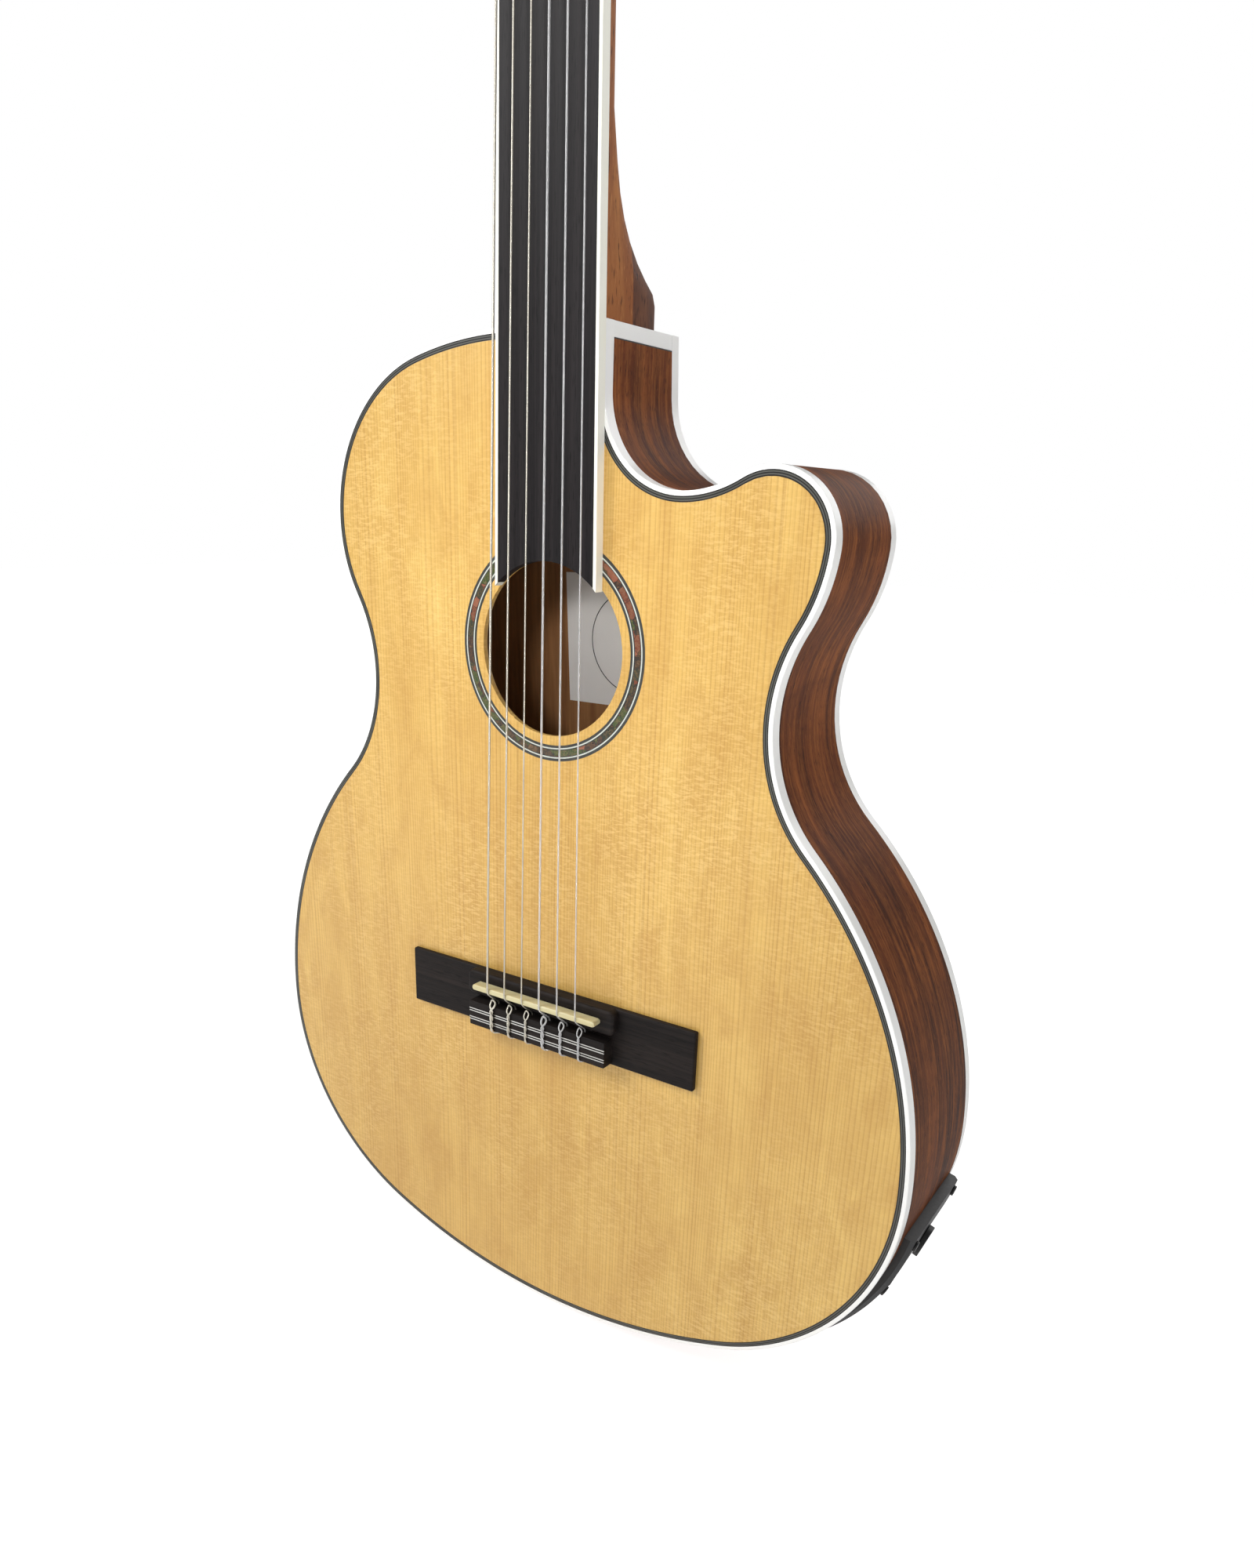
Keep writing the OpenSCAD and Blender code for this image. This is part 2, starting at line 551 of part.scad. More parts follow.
module button(i) at_head() translate([side_of(i) * worm_x, 0, roller_at(i) - worm_drop]) {
    color("gold") worm();
    color("gold") bore_y(pin_r, lug_y[0] - 0.6, worm_y[0]);
    color("gold") bore_y(pin_r, worm_y[1], knob_y[0]);
    color("ivory") for (x = [-3.5, 3.5]) translate([x, 0, 0]) bore_y(3.8, knob_y[0], knob_y[1]);
    color("ivory") translate([-3.5, knob_y[0], -3.8]) cube([7, knob_y[1] - knob_y[0], 7.6]);
}

// ---- Strings ----
function unit(v) = v / norm(v);
function ring_round(p, t, r, n) = let (u = unit([1, 0, 0] - t * t.x), v = cross(t, u))
    [for (k = [0 : n - 1]) p + r * (cos(360 * k / n) * u + sin(360 * k / n) * v)];
module cord(path, r, n = 8) {
    last = len(path) - 1;
    points = [for (i = [0 : last]) each
        ring_round(path[i], unit(path[min(last, i + 1)] - path[max(0, i - 1)]), r, n)];
    polyhedron(points, concat(
        [for (i = [0 : last - 1], k = [0 : n - 1]) let (k1 = (k + 1) % n) each
            [[i * n + k, (i + 1) * n + k, i * n + k1], [i * n + k1, (i + 1) * n + k, (i + 1) * n + k1]]],
        [[for (k = [0 : n - 1]) k]], [[for (k = [n - 1 : -1 : 0]) last * n + k]]));
}
// Route of a string from its tie over the saddle and the nut to its roller
tie_shift = 1.9;
function route(i) = let (r = string_r[i], x = saddle_x(i), k = i < 3 ? i : 5 - i)
    [[x + tie_shift, -tie_h + 1.5 - r, tie_z[1] + 1.2 + r], [x + tie_shift, -tie_h - 0.3 - r, tie_z[1] - 0.4],
     [x + tie_shift, -tie_h - 0.1 - r, 170], [x + 1.2, -tie_h - 0.1 - r, 165],
     [x + 0.4, -tie_h - r, tie_z[0] + 0.6], [x + 0.1, -tie_h + 1.6, bridge_z[0] - r],
     [x, -hole_h - 1.4, bridge_z[0] - 0.8 - r], [x, -hole_h, bridge_z[0] + 0.4],
     [x, -hole_h, tie_z[1] + 2.4], [x, -saddle_h + 0.3 - r, saddle_z - 1.6],
     [x, -saddle_h - 0.03 - r, saddle_z], [nut_x(i), -nut_h - 0.03 - r, nut_z + 0.5],
     [nut_x(i), -nut_h - 0.01 - r, nut_z + 4.8],
     head_point(side_of(i) * wind_x[k], roller_y - wind_r - joint_gap - r, roller_at(i))];
module bass_strings() color("silver") placed() for (i = [0 : 2]) cord(route(i), string_r[i]);
module treble_strings() color("whitesmoke") placed() for (i = [3 : 5]) cord(route(i), string_r[i]);

// ---- Output plate, jack and battery ----
plate_y = [14, 78];
plate_a = [-46, -12];
drawer_a = -37;
jack_a = -18.5;
jack_y = 40;
jack_body_r = 5.9;
tray_y = [20.3, 71.7];
tray_half = 15;
tray_depth = 21;
box_wall = 1.9;
module drawer_cut(grow) translate([-50, tray_y[0] - grow, -tray_half - grow])
    cube([100, tray_y[1] - tray_y[0] + 2 * grow, 2 * (tray_half + grow)]);
module output_plate() color("black") placed() difference() {
    rim_plate(lower_c, lower_r, plate_t, plate_y[0], plate_y[1], plate_a[0], plate_a[1], 2);
    at_rim(lower_c, lower_r, drawer_a) drawer_cut(0.4);
    at_rim(lower_c, lower_r, jack_a) translate([0, jack_y, 0]) bore_x(jack_body_r + 0.1, -10, 20);
    for (p = plate_screw_at) at_rim(lower_c, lower_r, p[0]) translate([0, p[1], 0]) bore_x(1.4, -10, 20);
}
plate_screw_at = [[-14, 19], [-14, 73], [-27.4, 19], [-27.4, 73]];
module plate_screws() color("black") placed() for (p = plate_screw_at)
    at_rim(lower_c, lower_r, p[0]) translate([0, p[1], 0]) {
        bore_x(1.35, 0.1, plate_t);
        bore_x(2.6, plate_t, plate_t + 1.2);
    }
module output_jack() color("silver") placed() at_rim(lower_c, lower_r, jack_a) translate([0, jack_y, 0])
    difference() {
        union() {
            bore_x(jack_body_r, -20, plate_t);
            bore_x(8, plate_t, plate_t + 2.5);
        }
        bore_x(jack_r, -16, 20);
    }
module battery_box() color("dimgray") placed() at_rim(lower_c, lower_r, drawer_a) difference() {
    translate([-tray_depth - 3, tray_y[0] - box_wall, -tray_half - box_wall])
        cube([tray_depth + 1, tray_y[1] - tray_y[0] + 2 * box_wall, 2 * (tray_half + box_wall)]);
    translate([-tray_depth - 0.4, tray_y[0] - 0.4, -tray_half - 0.4])
        cube([tray_depth + 5, tray_y[1] - tray_y[0] + 0.8, 2 * (tray_half + 0.4)]);
}
battery_size = [17, 48, 26];
module battery_drawer() color("black") placed() union() {
    intersection() {
        rim_plate(lower_c, lower_r, plate_t, plate_y[0], plate_y[1], plate_a[0], plate_a[1], 2);
        at_rim(lower_c, lower_r, drawer_a) drawer_cut(0);
    }
    at_rim(lower_c, lower_r, drawer_a) difference() {
        translate([-tray_depth, tray_y[0], -tray_half])
            cube([tray_depth + 1.5, tray_y[1] - tray_y[0], 2 * tray_half]);
        translate([-battery_size.x - 2.2, tray_y[0] + 1.5, -tray_half + 1.5])
            cube([battery_size.x + 0.2, tray_y[1] - tray_y[0] - 3, 2 * tray_half]);
    }
    at_rim(lower_c, lower_r, drawer_a) translate([plate_t - 0.5, 35, 8.5]) cube([2.5, 22, 6]);
}
module battery() color("slategray") placed() at_rim(lower_c, lower_r, drawer_a)
    translate([-battery_size.x - 2.1, tray_y[0] + 1.7, -tray_half + 1.6]) cube(battery_size);

// ---- Preamp on the bass side ----
preamp_a = 175;
preamp_y = [13, 47];
preamp_half = 21;
panel_t = 2.5;
knob_a = [188, 175, 162];
knob_y0 = 31;
knob_shaft_r = 3;
module preamp_panel() color("black") placed() difference() {
    rim_plate(flip(upper_c), upper_r, panel_t, preamp_y[0] - 3, preamp_y[1] + 3, preamp_a - 21, preamp_a + 21, 1);
    for (a = knob_a) at_rim(flip(upper_c), upper_r, a) translate([0, knob_y0, 0])
        bore_x(knob_shaft_r + running, -5, 10);
}
module preamp_box() color("dimgray") placed() at_rim(flip(upper_c), upper_r, preamp_a)
    translate([-24, preamp_y[0] + 0.3, -preamp_half + 0.3])
        cube([18, preamp_y[1] - preamp_y[0] - 0.6, 2 * preamp_half - 0.6]);
module control_knob(a) color("dimgray") placed() at_rim(flip(upper_c), upper_r, a) translate([0, knob_y0, 0]) {
    bore_x(knob_shaft_r, 0.2, panel_t + 0.4);
    bore_x(7, panel_t + 0.4, panel_t + 7);
}

soundboard();
back();
bass_side();
treble_side();
neck_block();
tail_block();
linings();
soundboard_bars();
fan_braces();
soundhole_patch();
back_braces();
back_strip();
rosette_mosaic();
rosette_lines();
top_binding();
back_binding();
top_purfling();
cutaway_binding();
label();
bridge();
saddle();
saddle_pickup();
tie_block_lines();
strap_button();
neck_shaft();
heel();
heel_cap();
headstock();
headstock_veneer();
fingerboard();
fingerboard_binding();
side_dots();
nut();
bass_strings();
treble_strings();
tuner_plates();
tuner_screws();
output_plate();
output_jack();
battery_box();
battery_drawer();
battery();
plate_screws();
preamp_panel();
preamp_box();
control_knob(knob_a[0]);  // volume_knob
control_knob(knob_a[1]);  // bass_knob
control_knob(knob_a[2]);  // treble_knob
for (i = [0 : 5]) roller(i);
for (i = [0 : 5]) button(i);
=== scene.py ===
import json
from math import atan2, ceil, cos, degrees, pi, radians, sin, sqrt

import bmesh
import bpy
from mathutils import Matrix, Vector

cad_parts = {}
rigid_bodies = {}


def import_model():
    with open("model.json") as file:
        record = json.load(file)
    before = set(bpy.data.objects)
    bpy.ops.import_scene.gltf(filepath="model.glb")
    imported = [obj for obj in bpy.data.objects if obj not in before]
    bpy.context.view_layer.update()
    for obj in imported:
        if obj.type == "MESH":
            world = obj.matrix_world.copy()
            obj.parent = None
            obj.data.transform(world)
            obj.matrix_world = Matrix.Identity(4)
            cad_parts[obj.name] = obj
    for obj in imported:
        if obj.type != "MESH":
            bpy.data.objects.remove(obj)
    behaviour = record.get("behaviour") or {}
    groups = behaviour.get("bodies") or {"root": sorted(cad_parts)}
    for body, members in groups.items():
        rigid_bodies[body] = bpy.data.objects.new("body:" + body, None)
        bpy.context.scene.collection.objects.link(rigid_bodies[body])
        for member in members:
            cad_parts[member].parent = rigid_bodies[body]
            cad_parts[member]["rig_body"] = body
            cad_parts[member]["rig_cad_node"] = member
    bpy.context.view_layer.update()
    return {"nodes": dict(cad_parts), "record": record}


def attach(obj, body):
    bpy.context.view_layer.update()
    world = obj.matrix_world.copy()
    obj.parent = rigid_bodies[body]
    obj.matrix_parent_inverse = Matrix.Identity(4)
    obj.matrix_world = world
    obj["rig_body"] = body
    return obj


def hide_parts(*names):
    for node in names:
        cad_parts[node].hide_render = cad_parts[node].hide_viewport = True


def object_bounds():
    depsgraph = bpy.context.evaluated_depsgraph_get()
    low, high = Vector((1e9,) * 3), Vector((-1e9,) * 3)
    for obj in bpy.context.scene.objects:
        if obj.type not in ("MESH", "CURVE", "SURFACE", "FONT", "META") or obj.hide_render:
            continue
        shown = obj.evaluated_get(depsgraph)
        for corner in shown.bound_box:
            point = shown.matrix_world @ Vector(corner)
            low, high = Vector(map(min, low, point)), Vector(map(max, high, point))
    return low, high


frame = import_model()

NODES = frame["nodes"]
RECORD = frame["record"]
BODY_OF = {node: body for body, nodes in RECORD["behaviour"]["bodies"].items() for node in nodes}
SLOT_OF = {part["node"]: part["material_slot"] for part in RECORD["subparts"]}
MM = 0.001
TUNERS = ["e_low", "a", "d", "g", "b", "e_high"]

# ---- Sizes of the guitar in millimetres; depths are counted back from the soundboard's face ----
FACE_Y = -47.5
BODY_LENGTH = 485
TAIL_DEPTH, NECK_DEPTH = 95, 57
HOLE_Z, HOLE_R = 355, 38.5
RIM, PURFLING, BINDING_H = 2, 2.4, 6
BACK_SLOPE = (TAIL_DEPTH - NECK_DEPTH) / BODY_LENGTH
BOARD_HALF, NUT_Z, NUT_H = 26, 835, 6.6
SADDLE_Z, SADDLE_H, SADDLE_HALF, SADDLE_PITCH, NUT_PITCH = 185, 13.5, 37.7, 10.8, 6.8
BRIDGE_Z, BRIDGE_HALF, WING_H = (161, 191.5), 87, 3.2
RIDGE_Z, RIDGE_H, RIDGE_HALF = (178.5, 191.4), 8, 45
TIE_Z, TIE_H, TIE_HALF = (162, 175.5), 10.5, 42
STRING_HOLE_H = 4.6
STRING_R = [0.55, 0.45, 0.38, 0.5, 0.42, 0.36]
HEAD_Z, HEAD_TILT, HEAD_T = 840, radians(14), 18
ROLLER_Z, WORM_X, WORM_DROP = [50, 85, 120, 120, 85, 50], 40, 8.94
WIND_X, WIND_R, WIND_HALF = [20, 16, 13, 13, 16, 20], 6.2, 2.6
BUTTON_W, BUTTON_Y, BUTTON_T = 14.6, (24, 37), 7.6
SLOT_X, BARREL_R = (7, 24), 5
KNOB_R, KNOB_T, KNOB_GAP, PANEL_T, KNOB_DEPTH = 7, 6.6, 0.4, 2.5, 31
KNOB_ANGLES = {"volume_knob": 188, "bass_knob": 175, "treble_knob": 162}
PURFLING_LINES, PURFLING_DEPTH = 5, 2.2
CAP_LINE_T, CAP_W = 0.5, 6
TWIST_TURNS, TWIST_STEPS = 1.5, 12
LABEL_MIDDLE, LABEL_RING_R, LABEL_RING_HALF = Vector((4, 0, 353)), 25, 0.25

# Points nearer to each other than this are one point, in metres
TOUCH = 1e-6

# ---- Arcs of the body's outline, tangent to each other ----
LOWER_HALF, LOWER_Z, LOWER_R, FLANK_R = 191, 141, 129, 204
WAIST_HALF, WAIST_Z, UPPER_HALF, UPPER_R, HORN_R, HORN_A = 111.5, 335, 131, 73, 28, radians(-5)
BASIN = Vector((64, 422))
SIDE_X = BOARD_HALF
flank_c = Vector((LOWER_HALF - FLANK_R, LOWER_Z))
lower_c = Vector((LOWER_HALF - LOWER_R, LOWER_Z))
tail_r = (lower_c.x ** 2 + LOWER_Z ** 2 - LOWER_R ** 2) / (2 * (LOWER_Z - LOWER_R))
tail_a = atan2(lower_c.x, tail_r - LOWER_Z)
waist_r = ((WAIST_HALF - flank_c.x) ** 2 + (WAIST_Z - LOWER_Z) ** 2 - FLANK_R ** 2) / (2 * (LOWER_HALF - WAIST_HALF))
waist_c = Vector((WAIST_HALF + waist_r, WAIST_Z))
flank_a = atan2(WAIST_Z - LOWER_Z, waist_c.x - flank_c.x)
bout_gain = UPPER_HALF - WAIST_HALF
upper_c = Vector((UPPER_HALF - UPPER_R, WAIST_Z + sqrt(2 * bout_gain * (UPPER_R + waist_r) - bout_gain ** 2)))
upper_a = atan2(upper_c.y - WAIST_Z, waist_c.x - upper_c.x)
horn_c = upper_c + (UPPER_R - HORN_R) * Vector((cos(HORN_A), sin(HORN_A)))
horn_rise = BASIN.y - horn_c.y
basin_r = ((horn_c.x - BASIN.x) ** 2 + horn_rise ** 2 - HORN_R ** 2) / (2 * (HORN_R - horn_rise))
horn_a = atan2(horn_rise + basin_r, BASIN.x - horn_c.x)
corner_r = BASIN.x - SIDE_X
shoulder_drop = BODY_LENGTH - upper_c.y
shoulder_r = ((upper_c.x - SIDE_X) ** 2 + shoulder_drop ** 2 - UPPER_R ** 2) / (2 * (shoulder_drop - UPPER_R))
shoulder_a = atan2(upper_c.x - SIDE_X, shoulder_r - shoulder_drop)
# Each arc is its centre, the angle turned and its radius, from the tail up the treble side
TREBLE_ARCS = [
    ((0, tail_r), tail_a, tail_r), (lower_c, pi / 2 - tail_a, LOWER_R), (flank_c, flank_a, FLANK_R),
    (waist_c, -flank_a - upper_a, waist_r), (upper_c, upper_a + HORN_A, UPPER_R),
    (horn_c, horn_a - HORN_A, HORN_R), ((BASIN.x, BASIN.y + basin_r), pi / 2 - horn_a, basin_r),
    ((BASIN.x, BASIN.y + corner_r), -pi / 2, corner_r)]
BASS_ARCS = [
    ((-SIDE_X, BODY_LENGTH - shoulder_r), shoulder_a, shoulder_r),
    ((-upper_c.x, upper_c.y), pi / 2 + upper_a - shoulder_a, UPPER_R),
    ((-waist_c.x, WAIST_Z), -upper_a - flank_a, waist_r), ((-flank_c.x, LOWER_Z), flank_a, FLANK_R),
    ((-lower_c.x, LOWER_Z), pi / 2 - tail_a, LOWER_R), ((0, tail_r), tail_a, tail_r)]


def on_body(x, depth, z):
    """A place given across, behind the soundboard's face and up, as a point of the frame."""
    return Vector((x, FACE_Y + depth, z)) * MM


def rim_place(centre, radius, angle):
    """The frame of a fitting on a bout: x points out of the side, y into the body's depth."""
    turn = Matrix.Rotation(-radians(angle), 4, "Y")
    return Matrix.Translation(on_body(centre[0], 0, centre[1])) @ turn @ Matrix.Translation((radius * MM, 0, 0))


HEAD_PLACE = Matrix.Translation(on_body(0, 0, HEAD_Z)) @ Matrix.Rotation(-HEAD_TILT, 4, "X")


# ---- Hand work on a piece ----
def select_only(*pieces):
    bpy.ops.object.select_all(action="DESELECT")
    for piece in pieces:
        piece.select_set(True)
    bpy.context.view_layer.objects.active = pieces[0]


def open_edit(piece):
    select_only(piece)
    bpy.ops.object.mode_set(mode="EDIT")
    bpy.ops.mesh.select_all(action="DESELECT")


def close_edit():
    bpy.ops.object.mode_set(mode="OBJECT")


def pick(kind, test):
    """Selects the open mesh's faces, edges or verts that pass the test, and nothing else."""
    bpy.ops.mesh.select_mode(type={"faces": "FACE", "edges": "EDGE", "verts": "VERT"}[kind])
    bpy.ops.mesh.select_all(action="DESELECT")
    mesh = bpy.context.object.data
    work = bmesh.from_edit_mesh(mesh)
    for part in getattr(work, kind):
        if test(part):
            part.select_set(True)
    work.select_flush_mode()
    bmesh.update_edit_mesh(mesh)


def keep_modifier(piece, name):
    select_only(piece)
    bpy.ops.object.modifier_apply(modifier=name)


def ease_edges(piece, width, steps=2, angle=40):
    """Rounds the sharp edges of a finished shape."""
    bevel = piece.modifiers.new("ease", "BEVEL")
    bevel.width, bevel.segments = width * MM, steps
    bevel.limit_method, bevel.angle_limit = "ANGLE", radians(angle)
    bevel.harden_normals = False
    keep_modifier(piece, "ease")


def polish(piece, angle=35):
    """Smooth shading that leaves the broad faces flat."""
    select_only(piece)
    bpy.ops.object.shade_smooth_by_angle(angle=radians(angle))
    weigh = piece.modifiers.new("weigh", "WEIGHTED_NORMAL")
    weigh.keep_sharp = True
    keep_modifier(piece, "weigh")


def settle(piece, place=None):
    """Puts a piece in its place in the frame and writes the place into its mesh."""
    if place is not None:
        piece.matrix_world = place @ piece.matrix_world
    select_only(piece)
    bpy.ops.object.transform_apply(location=True, rotation=True, scale=True)


def join_pieces(pieces):
    select_only(*pieces)
    bpy.ops.object.join()
    return bpy.context.object


def twin(piece):
    select_only(piece)
    bpy.ops.object.duplicate()
    return bpy.context.object


def box(size, middle):
    """A box of this size round its middle, both in metres."""
    bpy.ops.object.select_all(action="DESELECT")
    bpy.ops.mesh.primitive_cube_add(size=1)
    piece = bpy.context.object
    piece.scale, piece.location = size, middle
    settle(piece)
    return piece


def block(x, depth, z):
    """A box between two places across, behind the soundboard's face and up."""
    size = [(b - a) * MM for a, b in (x, depth, z)]
    return box(size, on_body(sum(x) / 2, sum(depth) / 2, sum(z) / 2))


def runs_in_depth(edge):
    start, end = (v.co for v in edge.verts)
    return abs(start.x - end.x) < TOUCH and abs(start.z - end.z) < TOUCH


def face_outwards(piece):
    open_edit(piece)
    bpy.ops.mesh.select_all(action="SELECT")
    bpy.ops.mesh.remove_doubles(threshold=TOUCH)
    bpy.ops.mesh.normals_make_consistent(inside=False)
    close_edit()


def hand_in(piece, name, node, finish):
    """Names a finished piece, gives it its finish and lets it stand for its node on the node's body."""
    piece.name = name
    piece.data.name = name
    piece.data.materials.clear()
    piece.data.materials.append(finish)
    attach(piece, BODY_OF[node])
    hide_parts(node)
    return piece


def true_copy(node):
    """The node's shape with its triangles joined and its flat faces whole."""
    piece = twin(NODES[node])
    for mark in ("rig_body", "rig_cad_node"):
        if mark in piece:
            del piece[mark]
    piece.parent = None
    piece.matrix_world = Matrix.Identity(4)
    if piece.data.has_custom_normals:
        bpy.ops.mesh.customdata_custom_splitnormals_clear()
    open_edit(piece)
    bpy.ops.mesh.select_all(action="SELECT")
    bpy.ops.mesh.remove_doubles(threshold=TOUCH)
    bpy.ops.mesh.dissolve_limited(angle_limit=radians(0.4))
    close_edit()
    return piece


def eased_copy(node, width, finish):
    """The node's own shape, with its edges rounded and its curves smooth."""
    piece = true_copy(node)
    if width:
        ease_edges(piece, width)
    polish(piece)
    return hand_in(piece, node + "_piece", node, finish)


# ---- Finishes ----
def srgb(red, green, blue):
    """A colour named by its 0 to 255 parts, as the shader wants it."""
    parts = (c / 255 for c in (red, green, blue))
    return tuple(((c + 0.055) / 1.055) ** 2.4 if c > 10 / 255 else c / 12.92 for c in parts) + (1,)


class Finish:
    """A material under construction."""

    def __init__(self, name, roughness, metallic=0.0, **sockets):
        self.material = bpy.data.materials.new(name)
        self.material.use_nodes = True
        self.tree = self.material.node_tree
        self.shader = self.tree.nodes["Principled BSDF"]
        self.shader.inputs["Roughness"].default_value = roughness
        self.shader.inputs["Metallic"].default_value = metallic
        for socket, value in sockets.items():
            self.shader.inputs[socket.replace("_", " ")].default_value = value
        self.where = self.node("ShaderNodeTexCoord").outputs["Object"]

    def node(self, kind, inputs=(), **settings):
        made = self.tree.nodes.new(kind)
        for key, value in settings.items():
            setattr(made, key, value)
        for key, value in dict(inputs).items():
            if isinstance(value, bpy.types.NodeSocket):
                self.tree.links.new(value, made.inputs[key])
            else:
                made.inputs[key].default_value = value
        return made

    def stretched(self, x, y, z):
        """The object's coordinates, multiplied along each axis."""
        return self.node("ShaderNodeMapping", {"Vector": self.where, "Scale": (x, y, z)}).outputs[0]

    def noise(self, where, scale=1.0, detail=4.0, rough=0.5, warp=0.0):
        inputs = {"Vector": where, "Scale": scale, "Detail": detail, "Roughness": rough, "Distortion": warp}
        return self.node("ShaderNodeTexNoise", inputs).outputs["Fac"]

    def sum(self, how, a, b=0.0, c=0.0):
        return self.node("ShaderNodeMath", {0: a, 1: b, 2: c}, operation=how).outputs[0]

    def ramp(self, value, stops, sharp=False):
        ramp = self.node("ShaderNodeValToRGB", {"Fac": value}).color_ramp
        ramp.interpolation = "CONSTANT" if sharp else "LINEAR"
        while len(ramp.elements) < len(stops):
            ramp.elements.new(0.5)
        for element, (at, colour) in zip(ramp.elements, stops):
            element.position = at
            element.color = colour if isinstance(colour, tuple) else (colour,) * 3 + (1,)
        return self.tree.nodes[-1].outputs["Color"]

    def blend(self, amount, a, b):
        made = self.node("ShaderNodeMix", data_type="RGBA", clamp_factor=True)
        for key, value in ((0, amount), (6, a), (7, b)):
            if isinstance(value, bpy.types.NodeSocket):
                self.tree.links.new(value, made.inputs[key])
            else:
                made.inputs[key].default_value = value
        return made.outputs[2]

    def colour(self, value):
        self.tree.links.new(value, self.shader.inputs["Base Color"])

    def roughness(self, value, low, high):
        made = self.node("ShaderNodeMapRange", {"Value": value, "To Min": low, "To Max": high})
        self.tree.links.new(made.outputs[0], self.shader.inputs["Roughness"])

    def relief(self, height, depth, strength):
        made = self.node("ShaderNodeBump", {"Height": height, "Distance": depth * MM, "Strength": strength})
        self.tree.links.new(made.outputs[0], self.shader.inputs["Normal"])

    def from_middle(self, middle):
        """Distance from the line that runs back through a place, in metres."""
        flat = self.node("ShaderNodeVectorMath", {0: self.where, 1: (1, 0, 1)}, operation="MULTIPLY").outputs[0]
        return self.node("ShaderNodeVectorMath", {0: flat, 1: middle}, operation="DISTANCE").outputs["Value"]


# The wave texture's period is 0.314 m over its scale: 1.85 mm for a year of spruce, 0.29 mm for a turn of wire
YEAR_SCALE, WIRE_SCALE = 170.0, 1100.0


def spruce_finish():
    """Yearly lines of uneven width, cross-grain silk and a few dark years near the middle joint."""
    wood = Finish("spruce_top", 0.42, Coat_Weight=0.12, Coat_Roughness=0.3)
    wander = wood.noise(wood.stretched(5, 1, 2.2), 1.0, 2, 0.4)
    across = wood.node("ShaderNodeSeparateXYZ", {"Vector": wood.where}).outputs["X"]
    bent = wood.sum("MULTIPLY_ADD", wander, 0.010, across)
    lane = wood.node("ShaderNodeCombineXYZ", {"X": bent}).outputs[0]
    year_width = wood.noise(lane, 34, 2, 0.5)
    spread = wood.sum("MULTIPLY_ADD", year_width, 0.016, bent)
    year_at = wood.node("ShaderNodeCombineXYZ", {"X": spread}).outputs[0]
    years = wood.node("ShaderNodeTexWave", {"Vector": year_at, "Scale": YEAR_SCALE, "Distortion": 0.0},
                      wave_profile="SAW").outputs["Fac"]
    late = wood.ramp(years, [(0.0, 0.0), (0.55, 0.12), (0.86, 0.9), (1.0, 0.0)])
    strong = wood.noise(lane, 90, 2, 0.6)
    streaks = wood.noise(wood.stretched(420, 1, 1.6), 1.0, 2, 0.5)
    cloud = wood.ramp(wood.noise(wood.stretched(9, 9, 5), 1.0, 3, 0.55, 0.6), [(0.32, 0.0), (0.68, 1.0)])
    pale = wood.blend(cloud, srgb(210, 168, 88), srgb(230, 191, 108))
    lane_tint = wood.ramp(strong, [(0.36, 0.0), (0.64, 1.0)])
    pale = wood.blend(wood.sum("MULTIPLY", lane_tint, 0.35), pale, srgb(202, 158, 82))
    line_strength = wood.sum("MULTIPLY", late, wood.ramp(strong, [(0.3, 0.3), (0.7, 0.85)]))
    lined = wood.blend(line_strength, pale, srgb(176, 126, 58))
    lined = wood.blend(wood.ramp(streaks, [(0.60, 0.0), (0.72, 0.34)]), lined, srgb(170, 120, 60))
    silk = wood.ramp(wood.noise(wood.stretched(200, 1, 760), 1.0, 3, 0.6, 0.8), [(0.46, 0.0), (0.62, 1.0)])
    silk_patch = wood.ramp(wood.noise(wood.stretched(14, 1, 9), 1.0, 2, 0.5), [(0.4, 0.15), (0.65, 0.6)])
    mottle = wood.ramp(wood.noise(wood.stretched(70, 1, 26), 1.0, 4, 0.6, 0.8), [(0.42, 0.0), (0.66, 0.5)])
    lined = wood.blend(mottle, lined, srgb(190, 143, 70))
    silk_strength = wood.sum("MULTIPLY", wood.sum("MULTIPLY", silk, silk_patch), 0.6)
    silked = wood.blend(silk_strength, lined, srgb(246, 214, 142))
    dark_years = wood.ramp(wood.noise(lane, 260, 1, 0.4), [(0.66, 0.0), (0.74, 0.55)])
    off_joint = wood.sum("ABSOLUTE", wood.sum("SUBTRACT", across, 0.012))
    middle = wood.node("ShaderNodeMapRange", {"Value": off_joint, "From Min": 0.012, "From Max": 0.05,
                                              "To Min": 1.0, "To Max": 0.25}).outputs[0]
    wood.colour(wood.blend(wood.sum("MULTIPLY", dark_years, middle), silked, srgb(170, 116, 58)))
    wood.roughness(wood.noise(wood.stretched(300, 1, 40), 1.0, 3), 0.28, 0.42)
    wood.relief(wood.sum("ADD", late, silk), 0.02, 0.35)
    return wood.material


